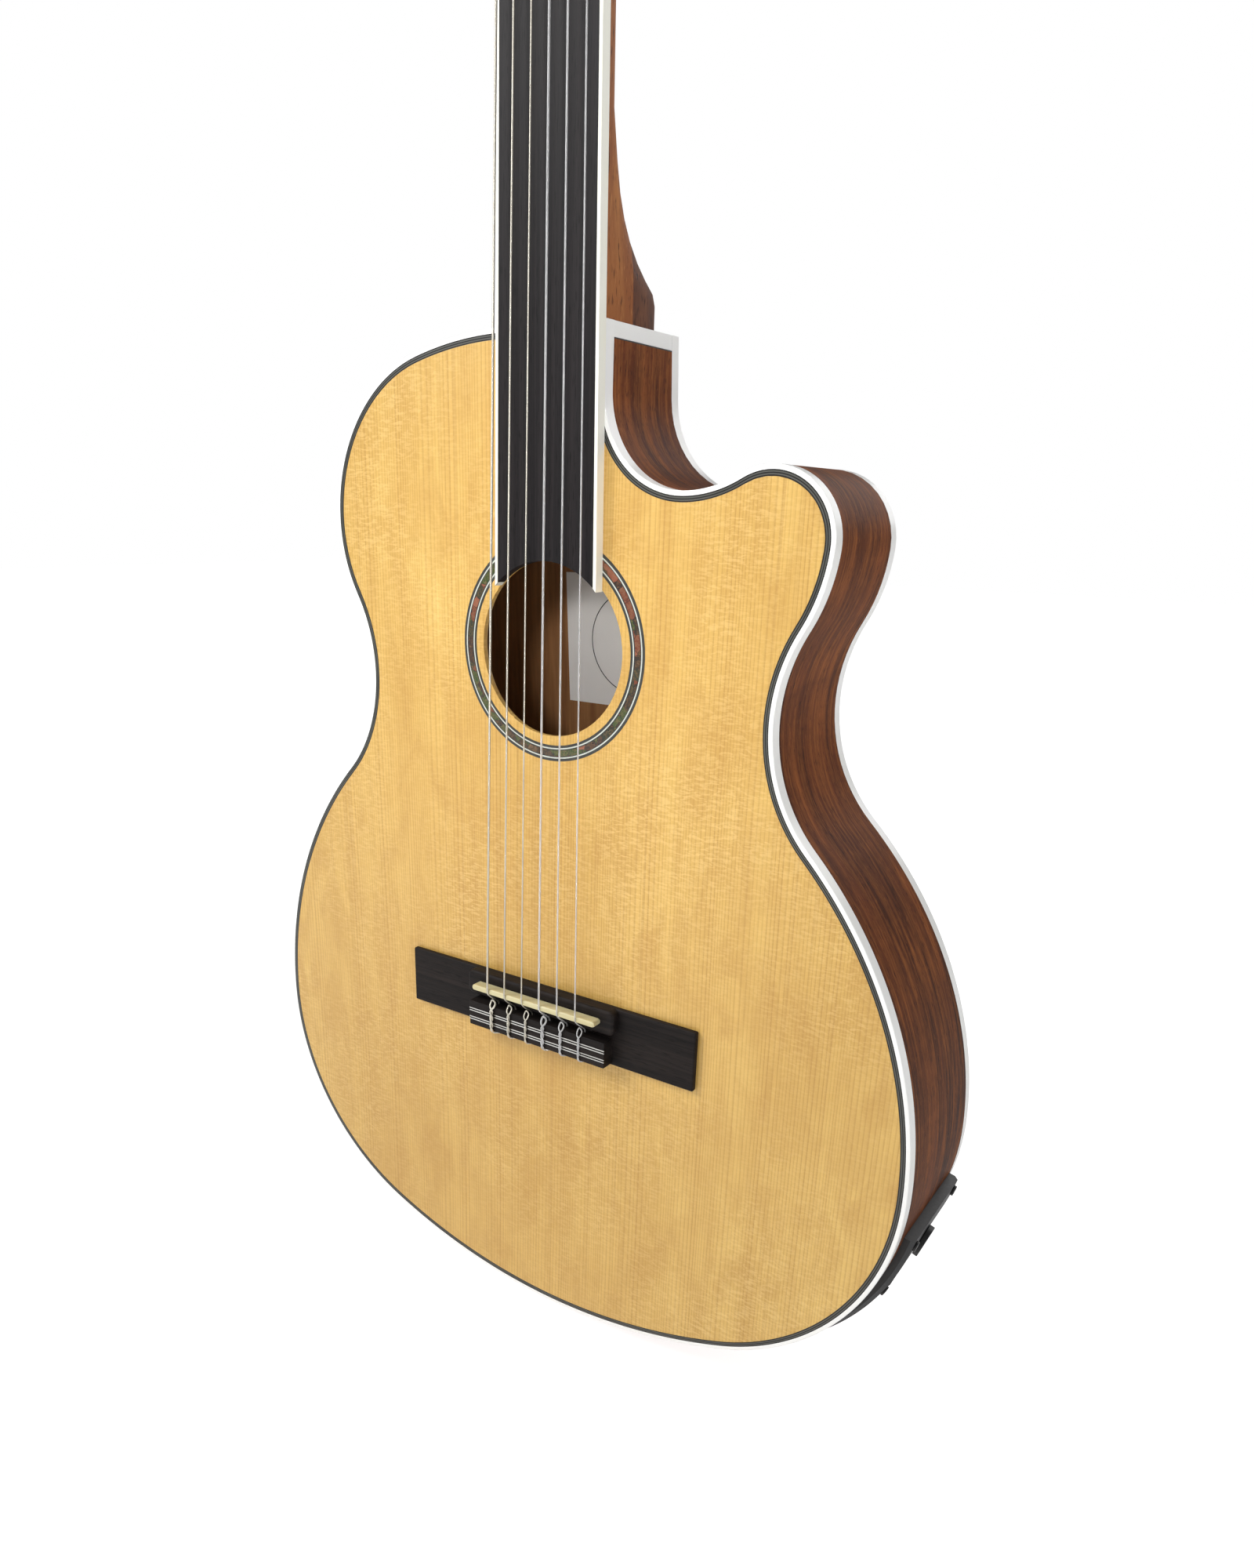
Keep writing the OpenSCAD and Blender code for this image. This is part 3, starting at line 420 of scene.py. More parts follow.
def mahogany_finish(name, dark, mid, light, rim=False):
    """Ribbon-striped mahogany, along the bent sides for the rim and otherwise up the guitar."""
    roughness = 0.5
    wood = Finish(name, roughness, Specular_IOR_Level=0.08)
    ribbon_at = wood.stretched(7, 78, 7) if rim else wood.stretched(62, 9, 2.2)
    streak_at = wood.stretched(24, 420, 24) if rim else wood.stretched(420, 60, 12)
    pore_at = wood.stretched(260, 1900, 260) if rim else wood.stretched(2400, 900, 170)
    figure_at = wood.stretched(60, 16, 60) if rim else wood.stretched(26, 10, 52)
    ribbon = wood.ramp(wood.noise(ribbon_at, 1.0, 2, 0.5, 0.4), [(0.3, 0.0), (0.7, 1.0)])
    streak = wood.noise(streak_at, 1.0, 3, 0.6)
    figure = wood.noise(figure_at, 1.0, 2, 0.5, 0.5)
    body = wood.blend(ribbon, srgb(*dark), srgb(*mid))
    body = wood.blend(wood.ramp(streak, [(0.42, 0.0), (0.72, 0.75)]), body, srgb(*light))
    body = wood.blend(wood.ramp(figure, [(0.35, 0.0), (0.75, 0.35)]), body, srgb(*dark))
    pits = wood.noise(pore_at, 1.0, 2, 0.5)
    pores = wood.ramp(pits, [(0.60, 0.0), (0.70, 1.0)])
    flecks = wood.ramp(pits, [(0.28, 0.5), (0.38, 0.0)])
    body = wood.blend(wood.sum("MULTIPLY", pores, 0.8), body, srgb(*(int(c * 0.45) for c in dark)))
    wood.colour(wood.blend(flecks, body, srgb(*light)))
    wood.roughness(streak, roughness - 0.06, roughness + 0.12)
    wood.relief(wood.sum("SUBTRACT", 1.0, pores), 0.03, 0.3)
    return wood.material


def plain_wood_finish(name, base, line):
    """Unfinished inside wood with lengthwise grain."""
    wood = Finish(name, 0.6)
    grain = wood.noise(wood.stretched(260, 120, 14), 1.0, 4, 0.6, 0.3)
    patches = wood.noise(wood.stretched(12, 12, 6), 1.0, 3)
    body = wood.blend(wood.ramp(grain, [(0.35, 0.0), (0.7, 1.0)]), srgb(*base), srgb(*line))
    wood.colour(wood.blend(wood.sum("MULTIPLY", patches, 0.3), body, srgb(*line)))
    wood.relief(grain, 0.05, 0.4)
    return wood.material


def dark_wood_finish(name, base, line, roughness, lanes=300, depth=0.03, coat=0.0, sideways=False):
    """Ebony and rosewood: nearly black with fine lines and short pores along the grain."""
    wood = Finish(name, roughness, Coat_Weight=coat, Coat_Roughness=0.2, Specular_IOR_Level=0.15)
    line_at = wood.stretched(6, 160, lanes) if sideways else wood.stretched(lanes, 160, 5)
    pore_at = wood.stretched(130, 900, 2200) if sideways else wood.stretched(2200, 900, 130)
    broad_at = wood.stretched(4, 30, 90) if sideways else wood.stretched(60, 30, 2)
    lines = wood.noise(line_at, 1.0, 4, 0.6, 0.2)
    broad = wood.ramp(wood.noise(broad_at, 1.0, 2), [(0.35, 0.0), (0.7, 1.0)])
    pores = wood.ramp(wood.noise(pore_at, 1.0, 2), [(0.58, 0.0), (0.68, 1.0)])
    body = wood.blend(wood.ramp(lines, [(0.4, 0.0), (0.68, 1.0)]), srgb(*base), srgb(*line))
    body = wood.blend(wood.sum("MULTIPLY", broad, 0.5), body, srgb(*line))
    wood.colour(wood.blend(wood.sum("MULTIPLY", pores, 0.7), body, srgb(*(int(c * 0.5) for c in base))))
    wood.roughness(lines, roughness - 0.08, roughness + 0.1)
    wood.relief(wood.sum("SUBTRACT", lines, pores), depth, 0.35)
    return wood.material


def plastic_finish(name, base, tint, roughness, depth=0.01, **sockets):
    """Moulded or scraped plastic: an even colour that drifts a little, with a very fine surface."""
    skin = Finish(name, roughness, **sockets)
    drift = skin.noise(skin.stretched(40, 40, 40), 1.0, 3)
    fine = skin.noise(skin.stretched(900, 900, 900), 1.0, 2)
    skin.colour(skin.blend(skin.ramp(drift, [(0.3, 0.0), (0.75, 1.0)]), srgb(*base), srgb(*tint)))
    skin.roughness(fine, roughness - 0.05, roughness + 0.08)
    skin.relief(fine, depth, 0.4)
    return skin.material


def metal_finish(name, base, worn, roughness, **sockets):
    metal = Finish(name, roughness, 1.0, **sockets)
    marks = metal.noise(metal.stretched(900, 120, 900), 1.0, 4, 0.6)
    stain = metal.noise(metal.stretched(60, 60, 60), 1.0, 3)
    metal.colour(metal.blend(metal.ramp(stain, [(0.35, 0.0), (0.8, 1.0)]), srgb(*base), srgb(*worn)))
    metal.roughness(marks, roughness - 0.06, roughness + 0.14)
    metal.relief(marks, 0.01, 0.2)
    return metal.material


def bone_finish():
    bone = Finish("bone", 0.36, Subsurface_Weight=0.15, Subsurface_Radius=(0.004, 0.003, 0.002))
    lines = bone.noise(bone.stretched(40, 300, 300), 1.0, 3, 0.6)
    bone.colour(bone.blend(bone.ramp(lines, [(0.3, 0.0), (0.75, 1.0)]), srgb(216, 207, 164), srgb(200, 189, 142)))
    bone.roughness(lines, 0.28, 0.42)
    bone.relief(lines, 0.01, 0.3)
    return bone.material


def rosette_lines_finish():
    """Black and grey lines with a white line on each side of the mosaic."""
    rings = Finish("rosette_lines_inlay", 0.3, Coat_Weight=0.3, Coat_Roughness=0.2)
    black, grey, white = srgb(24, 25, 24), srgb(54, 56, 54), srgb(214, 218, 208)
    # Each line starts this far out from the soundhole's edge
    starts, reach = [(4.3, grey), (5.4, white), (6.0, black), (9.6, white), (10.2, grey)], 14
    out = rings.sum("MULTIPLY", rings.from_middle((0, 0, HOLE_Z * MM)), 1 / MM)
    spread = rings.sum("DIVIDE", rings.sum("SUBTRACT", out, HOLE_R), reach)
    lines = rings.ramp(spread, [(0.0, black)] + [(at / reach, colour) for at, colour in starts], sharp=True)
    fibre = rings.noise(rings.stretched(500, 500, 500), 1.0, 3)
    rings.colour(rings.blend(rings.sum("MULTIPLY", fibre, 0.25), lines, srgb(60, 58, 54)))
    rings.roughness(fibre, 0.24, 0.4)
    rings.relief(fibre, 0.01, 0.3)
    return rings.material


def mosaic_finish():
    """Shell-like chips in red, orange, green and yellow-brown."""
    chips = Finish("mosaic_chips", 0.22, Coat_Weight=0.7, Coat_Roughness=0.08)
    chip_scale, warp_reach = 190.0, 0.004
    warp = chips.node("ShaderNodeTexNoise", {"Vector": chips.where, "Scale": 260.0, "Detail": 2.0}).outputs["Color"]
    moved = chips.node("ShaderNodeVectorMath", {0: warp, 1: (warp_reach,) * 3, 2: chips.where},
                       operation="MULTIPLY_ADD").outputs[0]
    cells = chips.node("ShaderNodeTexVoronoi", {"Vector": moved, "Scale": chip_scale, "Randomness": 1.0})
    kind = chips.node("ShaderNodeSeparateColor", {"Color": cells.outputs["Color"]}).outputs["Red"]
    palette = chips.ramp(kind, [
        (0.0, srgb(52, 74, 34)), (0.14, srgb(112, 58, 38)), (0.27, srgb(40, 32, 20)),
        (0.4, srgb(140, 80, 58)), (0.52, srgb(38, 46, 28)), (0.64, srgb(78, 60, 34)),
        (0.76, srgb(44, 28, 22)), (0.88, srgb(62, 80, 40))], sharp=True)
    veins = chips.noise(chips.stretched(700, 700, 700), 1.0, 4, 0.65, 1.2)
    body = chips.blend(chips.ramp(veins, [(0.4, 0.0), (0.75, 0.55)]), palette, srgb(150, 112, 78))
    edge = chips.node("ShaderNodeTexVoronoi", {"Vector": moved, "Scale": chip_scale},
                      feature="DISTANCE_TO_EDGE").outputs["Distance"]
    chips.colour(chips.blend(chips.ramp(edge, [(0.0, 0.8), (0.05, 0.0)]), body, srgb(26, 24, 20)))
    chips.roughness(veins, 0.14, 0.32)
    chips.relief(edge, 0.03, 0.3)
    return chips.material


def wound_finish():
    """Silver-plated wire wound round the bass strings."""
    wire = Finish("silver_wound", 0.32, 0.85)
    coils = wire.node("ShaderNodeTexWave", {"Vector": wire.where, "Scale": WIRE_SCALE},
                      bands_direction="Z").outputs["Fac"]
    stain = wire.noise(wire.stretched(400, 400, 60), 1.0, 3)
    wire.colour(wire.blend(stain, srgb(226, 222, 210), srgb(196, 190, 176)))
    wire.roughness(coils, 0.26, 0.42)
    wire.relief(coils, 0.05, 0.6)
    return wire.material


def nylon_finish():
    clear = Finish("clear_nylon", 0.16, IOR=1.45, Transmission_Weight=0.55)
    haze = clear.noise(clear.stretched(900, 900, 60), 1.0, 2)
    clear.colour(clear.blend(haze, srgb(236, 236, 238), srgb(250, 250, 250)))
    clear.roughness(haze, 0.1, 0.24)
    clear.relief(haze, 0.01, 0.2)
    return clear.material


def paper_finish():
    """Label paper with one thin printed ring."""
    sheet = Finish("label_paper", 0.75)
    fibre = sheet.noise(sheet.stretched(500, 500, 500), 1.0, 5, 0.6)
    fade = sheet.noise(sheet.stretched(30, 30, 30), 1.0, 2)
    paper = sheet.blend(fade, srgb(255, 252, 248), srgb(244, 240, 234))
    out = sheet.from_middle(LABEL_MIDDLE * MM)
    off_ring = sheet.sum("ABSOLUTE", sheet.sum("SUBTRACT", out, LABEL_RING_R * MM))
    sheet.colour(sheet.blend(sheet.sum("LESS_THAN", off_ring, LABEL_RING_HALF * MM), paper, srgb(44, 42, 42)))
    sheet.relief(fibre, 0.02, 0.4)
    return sheet.material


def pearl_finish():
    pearl = Finish("button_pearl", 0.18, Coat_Weight=0.8, Coat_Roughness=0.06, Subsurface_Weight=0.1,
                   Subsurface_Radius=(0.003, 0.003, 0.003))
    swirl = pearl.noise(pearl.stretched(120, 120, 220), 1.0, 4, 0.5, 1.6)
    pearl.colour(pearl.ramp(swirl, [(0.25, srgb(206, 200, 184)), (0.45, srgb(240, 236, 224)),
                                    (0.6, srgb(222, 220, 212)), (0.8, srgb(248, 246, 238))]))
    pearl.roughness(swirl, 0.12, 0.26)
    pearl.relief(swirl, 0.01, 0.2)
    return pearl.material


BODY_MAHOGANY = (60, 27, 10), (124, 66, 30), (164, 98, 50)
NECK_MAHOGANY = (140, 80, 38), (176, 108, 56), (198, 132, 72)
HEEL_MAHOGANY = (84, 46, 26), (120, 72, 44), (138, 88, 56)
FINISHES = {
    "spruce_top": spruce_finish(),
    "mahogany_inside": plain_wood_finish("mahogany_inside", (172, 122, 76), (128, 84, 48)),
    "mahogany_body": mahogany_finish("mahogany_body", *BODY_MAHOGANY, rim=True),
    "mahogany_back": mahogany_finish("mahogany_back", *BODY_MAHOGANY),
    "mahogany_neck": mahogany_finish("mahogany_neck", *NECK_MAHOGANY),
    "mahogany_heel": mahogany_finish("mahogany_heel", *HEEL_MAHOGANY),
    "lining_wood": plain_wood_finish("lining_wood", (196, 154, 100), (160, 116, 68)),
    "brace_spruce": plain_wood_finish("brace_spruce", (226, 194, 138), (196, 156, 98)),
    "mosaic_chips": mosaic_finish(),
    "rosette_lines": rosette_lines_finish(),
    "purfling_black": plastic_finish("purfling_black", (14, 14, 14), (24, 23, 22), 0.34),
    "purfling_grey": plastic_finish("purfling_grey", (74, 74, 70), (92, 92, 86), 0.4),
    "binding_white": plastic_finish("binding_white", (255, 255, 254), (252, 252, 248), 0.3,
                                    Coat_Weight=0.3, Coat_Roughness=0.15),
    "binding_ivory": plastic_finish("binding_ivory", (253, 252, 242), (248, 246, 230), 0.34),
    "label_paper": paper_finish(),
    "bridge_rosewood": dark_wood_finish("bridge_rosewood", (20, 17, 17), (40, 34, 32), 0.55,
                                        lanes=420, depth=0.05, sideways=True),
    "veneer_dark": dark_wood_finish("veneer_dark", (34, 26, 24), (66, 46, 38), 0.3, coat=0.5),
    "ebony": dark_wood_finish("ebony", (20, 18, 20), (38, 34, 35), 0.5, lanes=520),
    "bone": bone_finish(),
    "brass_strip": metal_finish("brass_strip", (196, 158, 84), (150, 116, 62), 0.35),
    "inlay_silver": metal_finish("inlay_silver", (226, 226, 222), (188, 188, 184), 0.25),
    "chrome_metal": metal_finish("chrome_metal", (214, 214, 216), (176, 176, 180), 0.16),
    "silver_wound": wound_finish(),
    "clear_nylon": nylon_finish(),
    "gold_plate": metal_finish("gold_plate", (216, 182, 116), (182, 148, 88), 0.34),
    "black_plastic": plastic_finish("black_plastic", (18, 18, 20), (28, 28, 30), 0.42, depth=0.03),
    "battery_case": plastic_finish("battery_case", (44, 48, 56), (70, 74, 82), 0.35),
    "roller_white": plastic_finish("roller_white", (238, 236, 226), (222, 218, 204), 0.35),
    "button_pearl": pearl_finish(),
}


# ---- Studio ----
CAMERA_PLACE = (0.300, -0.4546, 0.4137)
CAMERA_RIGHT, CAMERA_UP, CAMERA_BACK = (0.821, 0.571, 0.020), (-0.217, 0.279, 0.935), (0.528, -0.772, 0.353)
SENSOR_H, LENS, LENS_SHIFT = 36, 25.3, (0.0277, 0.0909)
# How brightly the floor and the air shine on the guitar; the camera sees both as white
FLOOR_LIGHT, FLOOR_SEEN, AIR_LIGHT, AIR_SEEN = 0.22, 0.80, 0.30, 1.0
# Each lamp's place, what it points at, its size, its power and its spread in degrees
LAMPS = {
    "key_light": ((-0.85, -0.95, 1.25), (0, 0, 0.5), 0.8, 19, 180),
    "fill_light": ((1.6, -0.75, 0.75), (0, 0, 0.35), 1.4, 5, 180),
    "hole_light": ((0.35, -1.3, 0.75), (0, 0, 0.36), 0.3, 0.12, 20),
    "back_light": ((0.6, 2.2, 1.6), (0, 0, 0.35), 1.8, 14, 180),
}


def add_lamp(name, place, aim, size, power, spread):
    light = bpy.data.lights.new(name, "AREA")
    light.shape, light.size, light.energy, light.spread = "DISK", size, power, radians(spread)
    lit = bpy.data.objects.new(name, light)
    bpy.context.scene.collection.objects.link(lit)
    turn = (Vector(place) - Vector(aim)).to_track_quat("Z", "Y").to_matrix().to_4x4()
    lit.matrix_world = Matrix.Translation(place) @ turn


def build_studio():
    scene = bpy.context.scene
    camera_data = bpy.data.cameras.new("studio_camera")
    camera = bpy.data.objects.new("studio_camera", camera_data)
    scene.collection.objects.link(camera)
    turn = Matrix((CAMERA_RIGHT, CAMERA_UP, CAMERA_BACK)).transposed().to_quaternion().to_matrix().to_4x4()
    camera.matrix_world = Matrix.Translation(CAMERA_PLACE) @ turn
    camera_data.sensor_fit, camera_data.sensor_height, camera_data.lens = "VERTICAL", SENSOR_H, LENS
    camera_data.shift_x, camera_data.shift_y = LENS_SHIFT
    camera_data.clip_start, camera_data.clip_end = 0.01, 50
    scene.camera = camera

    floor_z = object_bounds()[0][2] - 0.0005
    bpy.ops.object.select_all(action="DESELECT")
    bpy.ops.mesh.primitive_plane_add(size=14, location=(0, 0, floor_z))
    floor = bpy.context.object
    floor.name = "studio_floor"
    paper = Finish("studio_paper", 0.9)
    haze = paper.noise(paper.stretched(2, 2, 2), 1.0, 2)
    paper.colour(paper.blend(haze, (0.90, 0.90, 0.90, 1), (0.92, 0.92, 0.92, 1)))
    paper.shader.inputs["Emission Color"].default_value = (1, 1, 1, 1)
    to_camera = paper.node("ShaderNodeLightPath").outputs["Is Camera Ray"]
    shine = paper.node("ShaderNodeMapRange", {"Value": to_camera, "To Min": FLOOR_LIGHT, "To Max": FLOOR_SEEN})
    paper.tree.links.new(shine.outputs[0], paper.shader.inputs["Emission Strength"])
    floor.data.materials.append(paper.material)

    world = bpy.data.worlds.new("studio_air")
    world.use_nodes = True
    air = world.node_tree.nodes["Background"]
    air.inputs["Color"].default_value = (1, 1, 1, 1)
    seen = world.node_tree.nodes.new("ShaderNodeLightPath").outputs["Is Camera Ray"]
    level = world.node_tree.nodes.new("ShaderNodeMapRange")
    level.inputs["To Min"].default_value, level.inputs["To Max"].default_value = AIR_LIGHT, AIR_SEEN
    world.node_tree.links.new(seen, level.inputs["Value"])
    world.node_tree.links.new(level.outputs[0], air.inputs["Strength"])
    scene.world = world

    for name, settings in LAMPS.items():
        add_lamp(name, *settings)
    scene.view_settings.view_transform = "Standard"


build_studio()


# ---- Rim: bindings and purfling follow the body's outline ----
CORNER_ROUND, SPIN_STEP = 0.5, 2.5


def sweep_rim(strips, back=False):
    """Strips spun round every arc of the outline.

    A strip is its two distances in from the edge, its two depths and the corner to round, if any.
    """
    sections = []
    for d0, d1, y0, y1, round_at in strips:
        bpy.ops.object.select_all(action="DESELECT")
        bpy.ops.mesh.primitive_plane_add(size=1, rotation=(0, pi / 2, 0))
        section = bpy.context.object
        section.scale = ((d1 - d0) * MM, (y1 - y0) * MM, 1)
        section.location = Vector((0, (y0 + y1) / 2, (d0 + d1) / 2)) * MM
        settle(section)
        if round_at:
            open_edit(section)
            edge_y, edge_d = round_at
            pick("verts", lambda v: abs(v.co.y - edge_y * MM) < TOUCH and abs(v.co.z - edge_d * MM) < TOUCH)
            bpy.ops.mesh.bevel(offset=CORNER_ROUND * MM, segments=4, affect="VERTICES")
            close_edit()
        sections.append(section)
    piece = join_pieces(sections) if len(sections) > 1 else sections[0]
    open_edit(piece)
    bpy.ops.mesh.select_all(action="SELECT")
    bpy.ops.mesh.delete(type="ONLY_FACE")
    bpy.ops.mesh.select_mode(type="VERT")
    bpy.ops.mesh.select_all(action="SELECT")

    def follow(arcs):
        for centre, turn, radius in arcs:
            steps = max(2, ceil(abs(turn) * radius / SPIN_STEP))
            middle = (centre[0] * MM, 0, centre[1] * MM)
            bpy.ops.mesh.spin(steps=steps, angle=turn, center=middle, axis=(0, 1, 0))

    def run_to(step, lay):
        """Carries the strip straight on, then lays its end on a mitre or a square line."""
        bpy.ops.mesh.extrude_region_move(TRANSFORM_OT_translate={"value": step})
        work = bmesh.from_edit_mesh(piece.data)
        for v in work.verts:
            if v.select:
                lay(v.co)
        bmesh.update_edit_mesh(piece.data)

    follow(TREBLE_ARCS)
    corner = Vector((SIDE_X, 0, BODY_LENGTH)) * MM
    # The steps only make the new edge loop; the second argument lays it exactly
    run_to((0, 0, 0.01), lambda co: setattr(co, "z", corner.z - (corner.x - co.x)))
    run_to((-0.02, 0, 0), lambda co: setattr(co, "x", -corner.x))
    follow(BASS_ARCS)
    close_edit()
    face_outwards(piece)
    for v in piece.data.vertices:
        v.co.y += (FACE_Y + (TAIL_DEPTH if back else 0)) * MM - (BACK_SLOPE * v.co.z if back else 0)
    polish(piece, 30)
    return piece


def purfling_strips(lines):
    width = PURFLING / PURFLING_LINES
    return [(RIM + i * width, RIM + (i + 1) * width, 0, PURFLING_DEPTH, None) for i in lines]


hand_in(sweep_rim([(0, RIM, 0, BINDING_H, (0, 0))]),
        "top_binding_strip", "top_binding", FINISHES["binding_white"])
hand_in(sweep_rim([(0, RIM, -BINDING_H, 0, (0, 0))], back=True),
        "back_binding_strip", "back_binding", FINISHES["binding_white"])
hand_in(sweep_rim(purfling_strips((0, 2, 4))), "purfling_black_lines", "top_purfling", FINISHES["purfling_black"])
hand_in(sweep_rim(purfling_strips((1, 3))), "purfling_grey_lines", "top_purfling", FINISHES["purfling_grey"])

# A black line lies between the cutaway's end cap and the side
line_z = BODY_LENGTH - CAP_W
cap_line = block((SIDE_X - 1, SIDE_X + 0.04), (BINDING_H, TAIL_DEPTH - BACK_SLOPE * line_z - BINDING_H),
                 (line_z - CAP_LINE_T, line_z))
ease_edges(cap_line, 0.03)
hand_in(cap_line, "cutaway_black_line", "top_purfling", FINISHES["purfling_black"])


# ---- Bridge: flat wings, a ridge for the saddle and the block the strings are tied to ----
def bridge_piece(name, piece, width, steps):
    ease_edges(piece, width, steps, 50)
    polish(piece)
    return hand_in(piece, name, "bridge", FINISHES["bridge_rosewood"])


bridge_piece("bridge_wings", block((-BRIDGE_HALF, BRIDGE_HALF), (-WING_H, 0), BRIDGE_Z), 0.9, 4)
ridge = block((-RIDGE_HALF, RIDGE_HALF), (-RIDGE_H, -0.5), RIDGE_Z)
open_edit(ridge)
pick("edges", runs_in_depth)
bpy.ops.mesh.bevel(offset=3 * MM, segments=6, affect="EDGES")
close_edit()
bridge_piece("bridge_ridge", ridge, 1.6, 5)
tie_block = block((-TIE_HALF, TIE_HALF), (-TIE_H, -0.5), TIE_Z)
holes = []
for i in range(len(TUNERS)):
    middle = on_body((i - 2.5) * SADDLE_PITCH, -STRING_HOLE_H, sum(TIE_Z) / 2)
    bpy.ops.object.select_all(action="DESELECT")
    bpy.ops.mesh.primitive_cylinder_add(vertices=20, radius=MM, depth=30 * MM, location=middle)
    holes.append(bpy.context.object)
drill = join_pieces(holes)
settle(drill)
cut = tie_block.modifiers.new("holes", "BOOLEAN")
cut.operation, cut.object, cut.solver = "DIFFERENCE", drill, "EXACT"
keep_modifier(tie_block, "holes")
bpy.data.objects.remove(drill)
bridge_piece("tie_block", tie_block, 0.4, 3)

saddle = block((-SADDLE_HALF, SADDLE_HALF), (-SADDLE_H, -4), (SADDLE_Z - 1.5, SADDLE_Z + 1.5))
open_edit(saddle)
pick("edges", runs_in_depth)
bpy.ops.mesh.bevel(offset=1.4 * MM, segments=6, affect="EDGES")
close_edit()
ease_edges(saddle, 0.8, 4, 50)
polish(saddle)
hand_in(saddle, "saddle_bone", "saddle", FINISHES["bone"])


# ---- Strings, each tied to the block with a twisted loop ----
def string_path(i):
    """Points from the roller to the tucked end, as places across, in depth and up."""
    r, x, nut_x = STRING_R[i], (i - 2.5) * SADDLE_PITCH, (i - 2.5) * NUT_PITCH
    side = -1 if i < 3 else 1
    high = HEAD_PLACE @ (Vector((side * WIND_X[i], HEAD_T / 2 - WIND_R - r, ROLLER_Z[i])) * MM)
    on_saddle, in_hole, top = -SADDLE_H - r, -STRING_HOLE_H, -TIE_H
    rear, front = TIE_Z
    behind = rear - r

    def twist(t, turned):
        angle = TWIST_TURNS * 2 * pi * t + turned
        return (x + 0.4 + r * cos(angle), top - 1.9 * r - r * 0.9 * sin(angle), rear + 0.9 + (front - rear - 2.4) * t)

    path = [(high.x / MM, high.y / MM - FACE_Y, high.z / MM)]
    path += [(nut_x, -NUT_H - r, NUT_Z + rise) for rise in (6, 3, 0)]
    # Over the saddle, down through the block's hole and up its rear
    path += [(x, on_saddle, SADDLE_Z + 3), (x, on_saddle, SADDLE_Z + 0.5), (x, on_saddle + 0.4, SADDLE_Z - 1.2),
             (x, -SADDLE_H + 3, SADDLE_Z - 4), (x, in_hole - 1, front + 2), (x, in_hole, front),
             (x, in_hole, rear + 1), (x, in_hole - 0.4, behind - 0.4), (x + 0.2, in_hole - 3, behind - 0.5),
             (x + 0.3, top + 0.6, behind - 0.3)]
    # Twisted forward over the block, round the string in front of it and twisted back
    path += [twist(k / TWIST_STEPS, 0) for k in range(TWIST_STEPS + 1)]
    path += [(x + 1.2 + r, top - 0.4, front + 0.4), (x + 0.9 + r, top + 1.4, front + 2.2),
             (x, top + 0.9 - r, front + 4.2), (x - 0.9 - r, top + 1.2, front + 2.2),
             (x - 0.5 - r, top - 0.5, front + 0.4)]
    path += [twist(k / TWIST_STEPS, pi) for k in range(TWIST_STEPS, -1, -1)]
    # The end is tucked down behind the block and, but for the last, under the next string
    path += [(x + 0.8, top + 0.6, behind - 0.5), (x + 2.4, top + 2.6, behind - 0.4)]
    if i < len(TUNERS) - 1:
        path += [(x + SADDLE_PITCH * share, top + sunk, behind - back)
                 for share, sunk, back in ((0.6, 3.1, 0.3), (0.96, 3.4, 0.2))]
    return path


for i, tuner in enumerate(TUNERS):
    curve = bpy.data.curves.new("string_" + tuner, "CURVE")
    curve.dimensions, curve.bevel_depth, curve.bevel_resolution = "3D", STRING_R[i] * MM, 2
    curve.use_fill_caps, curve.resolution_u = True, 4
    line = curve.splines.new("NURBS")
    path = string_path(i)
    line.points.add(len(path) - 1)
    for point, at in zip(line.points, path):
        point.co = on_body(*at).to_4d()
    line.order_u, line.use_endpoint_u = 3, True
    cord = bpy.data.objects.new("string_" + tuner, curve)
    bpy.context.scene.collection.objects.link(cord)
    select_only(cord)
    bpy.ops.object.convert(target="MESH")
    polish(cord, 60)
    node, finish = ("bass_strings", "silver_wound") if i < 3 else ("treble_strings", "clear_nylon")
    hand_in(cord, "string_" + tuner, node, FINISHES[finish])


# ---- Tuning machines: pearl buttons on gold worms, white rollers on gold shafts ----
def in_head(point):
    """A point of the frame, in the headstock's own millimetres."""
    return HEAD_PLACE.inverted() @ point / MM


def pearl_button():
    """A flattened, rounded button that hangs from its worm's shaft."""
    start, end = BUTTON_Y
    piece = box((BUTTON_W * MM, (end - start) * MM, BUTTON_T * MM), (0, (start + end) / 2 * MM, 0))
    open_edit(piece)
    pick("verts", lambda v: v.co.y < start * MM + TOUCH)
    bpy.ops.transform.resize(value=(0.62, 1, 0.75))
    bpy.ops.mesh.select_all(action="SELECT")
    bpy.ops.mesh.bevel(offset=3.1 * MM, segments=5, affect="EDGES")
    close_edit()
    polish(piece, 60)
    return piece


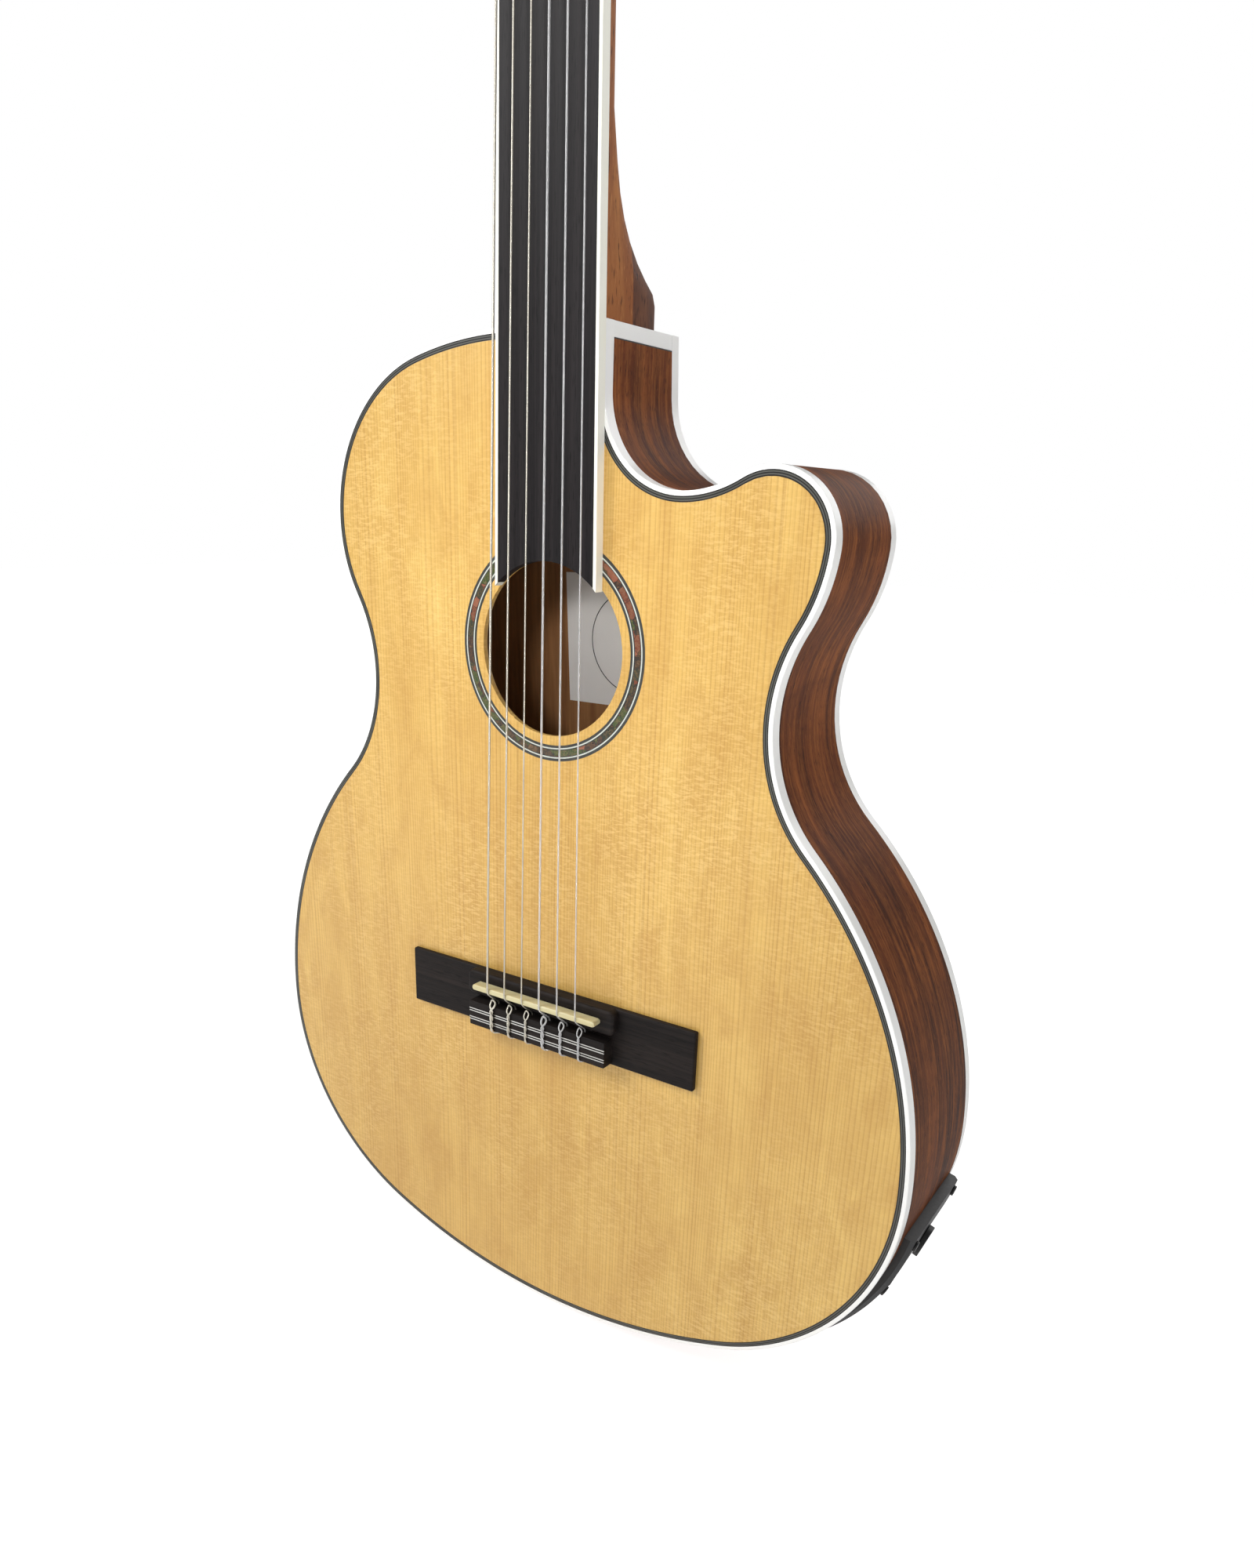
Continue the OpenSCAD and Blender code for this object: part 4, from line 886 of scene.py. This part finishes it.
first_button = pearl_button()
for i, tuner in enumerate(TUNERS):
    side = -1 if i < 3 else 1
    pearl = twin(first_button)
    settle(pearl, HEAD_PLACE @ Matrix.Translation(Vector((side * WORM_X, 0, ROLLER_Z[i] - WORM_DROP)) * MM))
    node = "button_" + tuner
    worm = true_copy(node)
    open_edit(worm)
    pick("faces", lambda f: in_head(f.calc_center_median()).y > BUTTON_Y[0] - 0.1)
    bpy.ops.mesh.delete(type="FACE")
    close_edit()
    polish(worm, 30)
    hand_in(worm, node + "_worm", node, FINISHES["gold_plate"])
    hand_in(pearl, node + "_pearl", node, FINISHES["button_pearl"])
    roller = true_copy("roller_" + tuner)
    polish(roller, 35)
    hand_in(roller, "roller_" + tuner + "_barrel", "roller_" + tuner, FINISHES["roller_white"])
    roller.data.materials.append(FINISHES["gold_plate"])
    roller.data.materials.append(FINISHES["silver_wound" if i < 3 else "clear_nylon"])
    # The ends are the gold shaft, and what stands out of the barrel is the string wound on it
    for face in roller.data.polygons:
        at = in_head(face.center)
        out = Vector((0, at.y - HEAD_T / 2, at.z - ROLLER_Z[i])).length
        if not SLOT_X[0] + 0.3 < abs(at.x) < SLOT_X[1] - 0.3:
            face.material_index = 1
        elif out > BARREL_R + 0.1 or abs(abs(at.x) - WIND_X[i]) < WIND_HALF and out > BARREL_R - 2:
            face.material_index = 2
bpy.data.objects.remove(first_button)


# ---- Control knobs: fluted, with a white pointer ----
def control_knob():
    """A knob's fluted cap and its pointer, with the knob's shaft along x."""
    sides, foot = 48, PANEL_T + KNOB_GAP

    def is_flute(face):
        angle = degrees(atan2(face.normal.z, face.normal.y))
        return abs(face.normal.x) < 0.1 and int(angle // (360 / sides)) % 2 == 0

    bpy.ops.object.select_all(action="DESELECT")
    bpy.ops.mesh.primitive_cylinder_add(vertices=sides, radius=KNOB_R * MM, depth=KNOB_T * MM,
                                        rotation=(0, pi / 2, 0))
    piece = bpy.context.object
    piece.location = ((foot + KNOB_T / 2) * MM, 0, 0)
    settle(piece)
    open_edit(piece)
    pick("faces", is_flute)
    bpy.ops.mesh.inset(thickness=0.12 * MM, depth=-0.35 * MM, use_individual=True)
    pick("faces", lambda f: f.normal.x > 0.9)
    bpy.ops.mesh.inset(thickness=0.9 * MM, depth=0)
    bpy.ops.mesh.inset(thickness=0.4 * MM, depth=-0.3 * MM)
    close_edit()
    ease_edges(piece, 0.12, 2, 50)
    polish(piece)
    pointer = box((0.5 * MM, 4.4 * MM, 0.8 * MM), ((foot + KNOB_T - 0.25) * MM, -3.4 * MM, 0))
    ease_edges(pointer, 0.1)
    return piece, pointer


first_knob, first_pointer = control_knob()
for node, angle in KNOB_ANGLES.items():
    place = rim_place((-upper_c.x, upper_c.y), UPPER_R, angle) @ Matrix.Translation((0, KNOB_DEPTH * MM, 0))
    for first, kind, finish in ((first_knob, "_cap", "black_plastic"), (first_pointer, "_pointer", "binding_white")):
        piece = twin(first)
        settle(piece, place)
        hand_in(piece, node + kind, node, FINISHES[finish])
for first in (first_knob, first_pointer):
    bpy.data.objects.remove(first)

# ---- Pieces that keep the shape of their node, by how far their edges are rounded ----
EASED = {
    "soundboard": 0.15, "cutaway_binding": 0.3, "fingerboard_binding": 0.25, "fingerboard": 0.15, "nut": 0.3,
    "heel_cap": 0.3, "headstock": 0.6, "headstock_veneer": 0.3, "output_plate": 0.5, "battery_drawer": 0.3,
    "tuner_plates": 0.2, "strap_button": 0.3, "output_jack": 0.3, "preamp_panel": 0.3, "neck_shaft": 0,
    "heel": 0, "bass_side": 0, "treble_side": 0, "back": 0, "linings": 0, "tuner_screws": 0.25,
    "plate_screws": 0.25}
OWN_FINISH = {"back": "mahogany_back", "fingerboard_binding": "binding_ivory"}
for node, width in EASED.items():
    piece = eased_copy(node, width, FINISHES[OWN_FINISH.get(node, SLOT_OF[node])])
    if node == "back":
        piece.data.materials.append(FINISHES["mahogany_inside"])
        for face in piece.data.polygons:
            face.material_index = int(face.normal.y < -0.5)

REPLACED = {"top_binding", "back_binding", "top_purfling", "bridge", "saddle", "bass_strings", "treble_strings"}
REPLACED |= set(EASED) | set(KNOB_ANGLES) | {kind + tuner for kind in ("roller_", "button_") for tuner in TUNERS}
for node, part in NODES.items():
    if node not in REPLACED:
        finish = "rosette_lines" if node == "rosette_lines" else SLOT_OF[node]
        part.data.materials.clear()
        part.data.materials.append(FINISHES[finish])
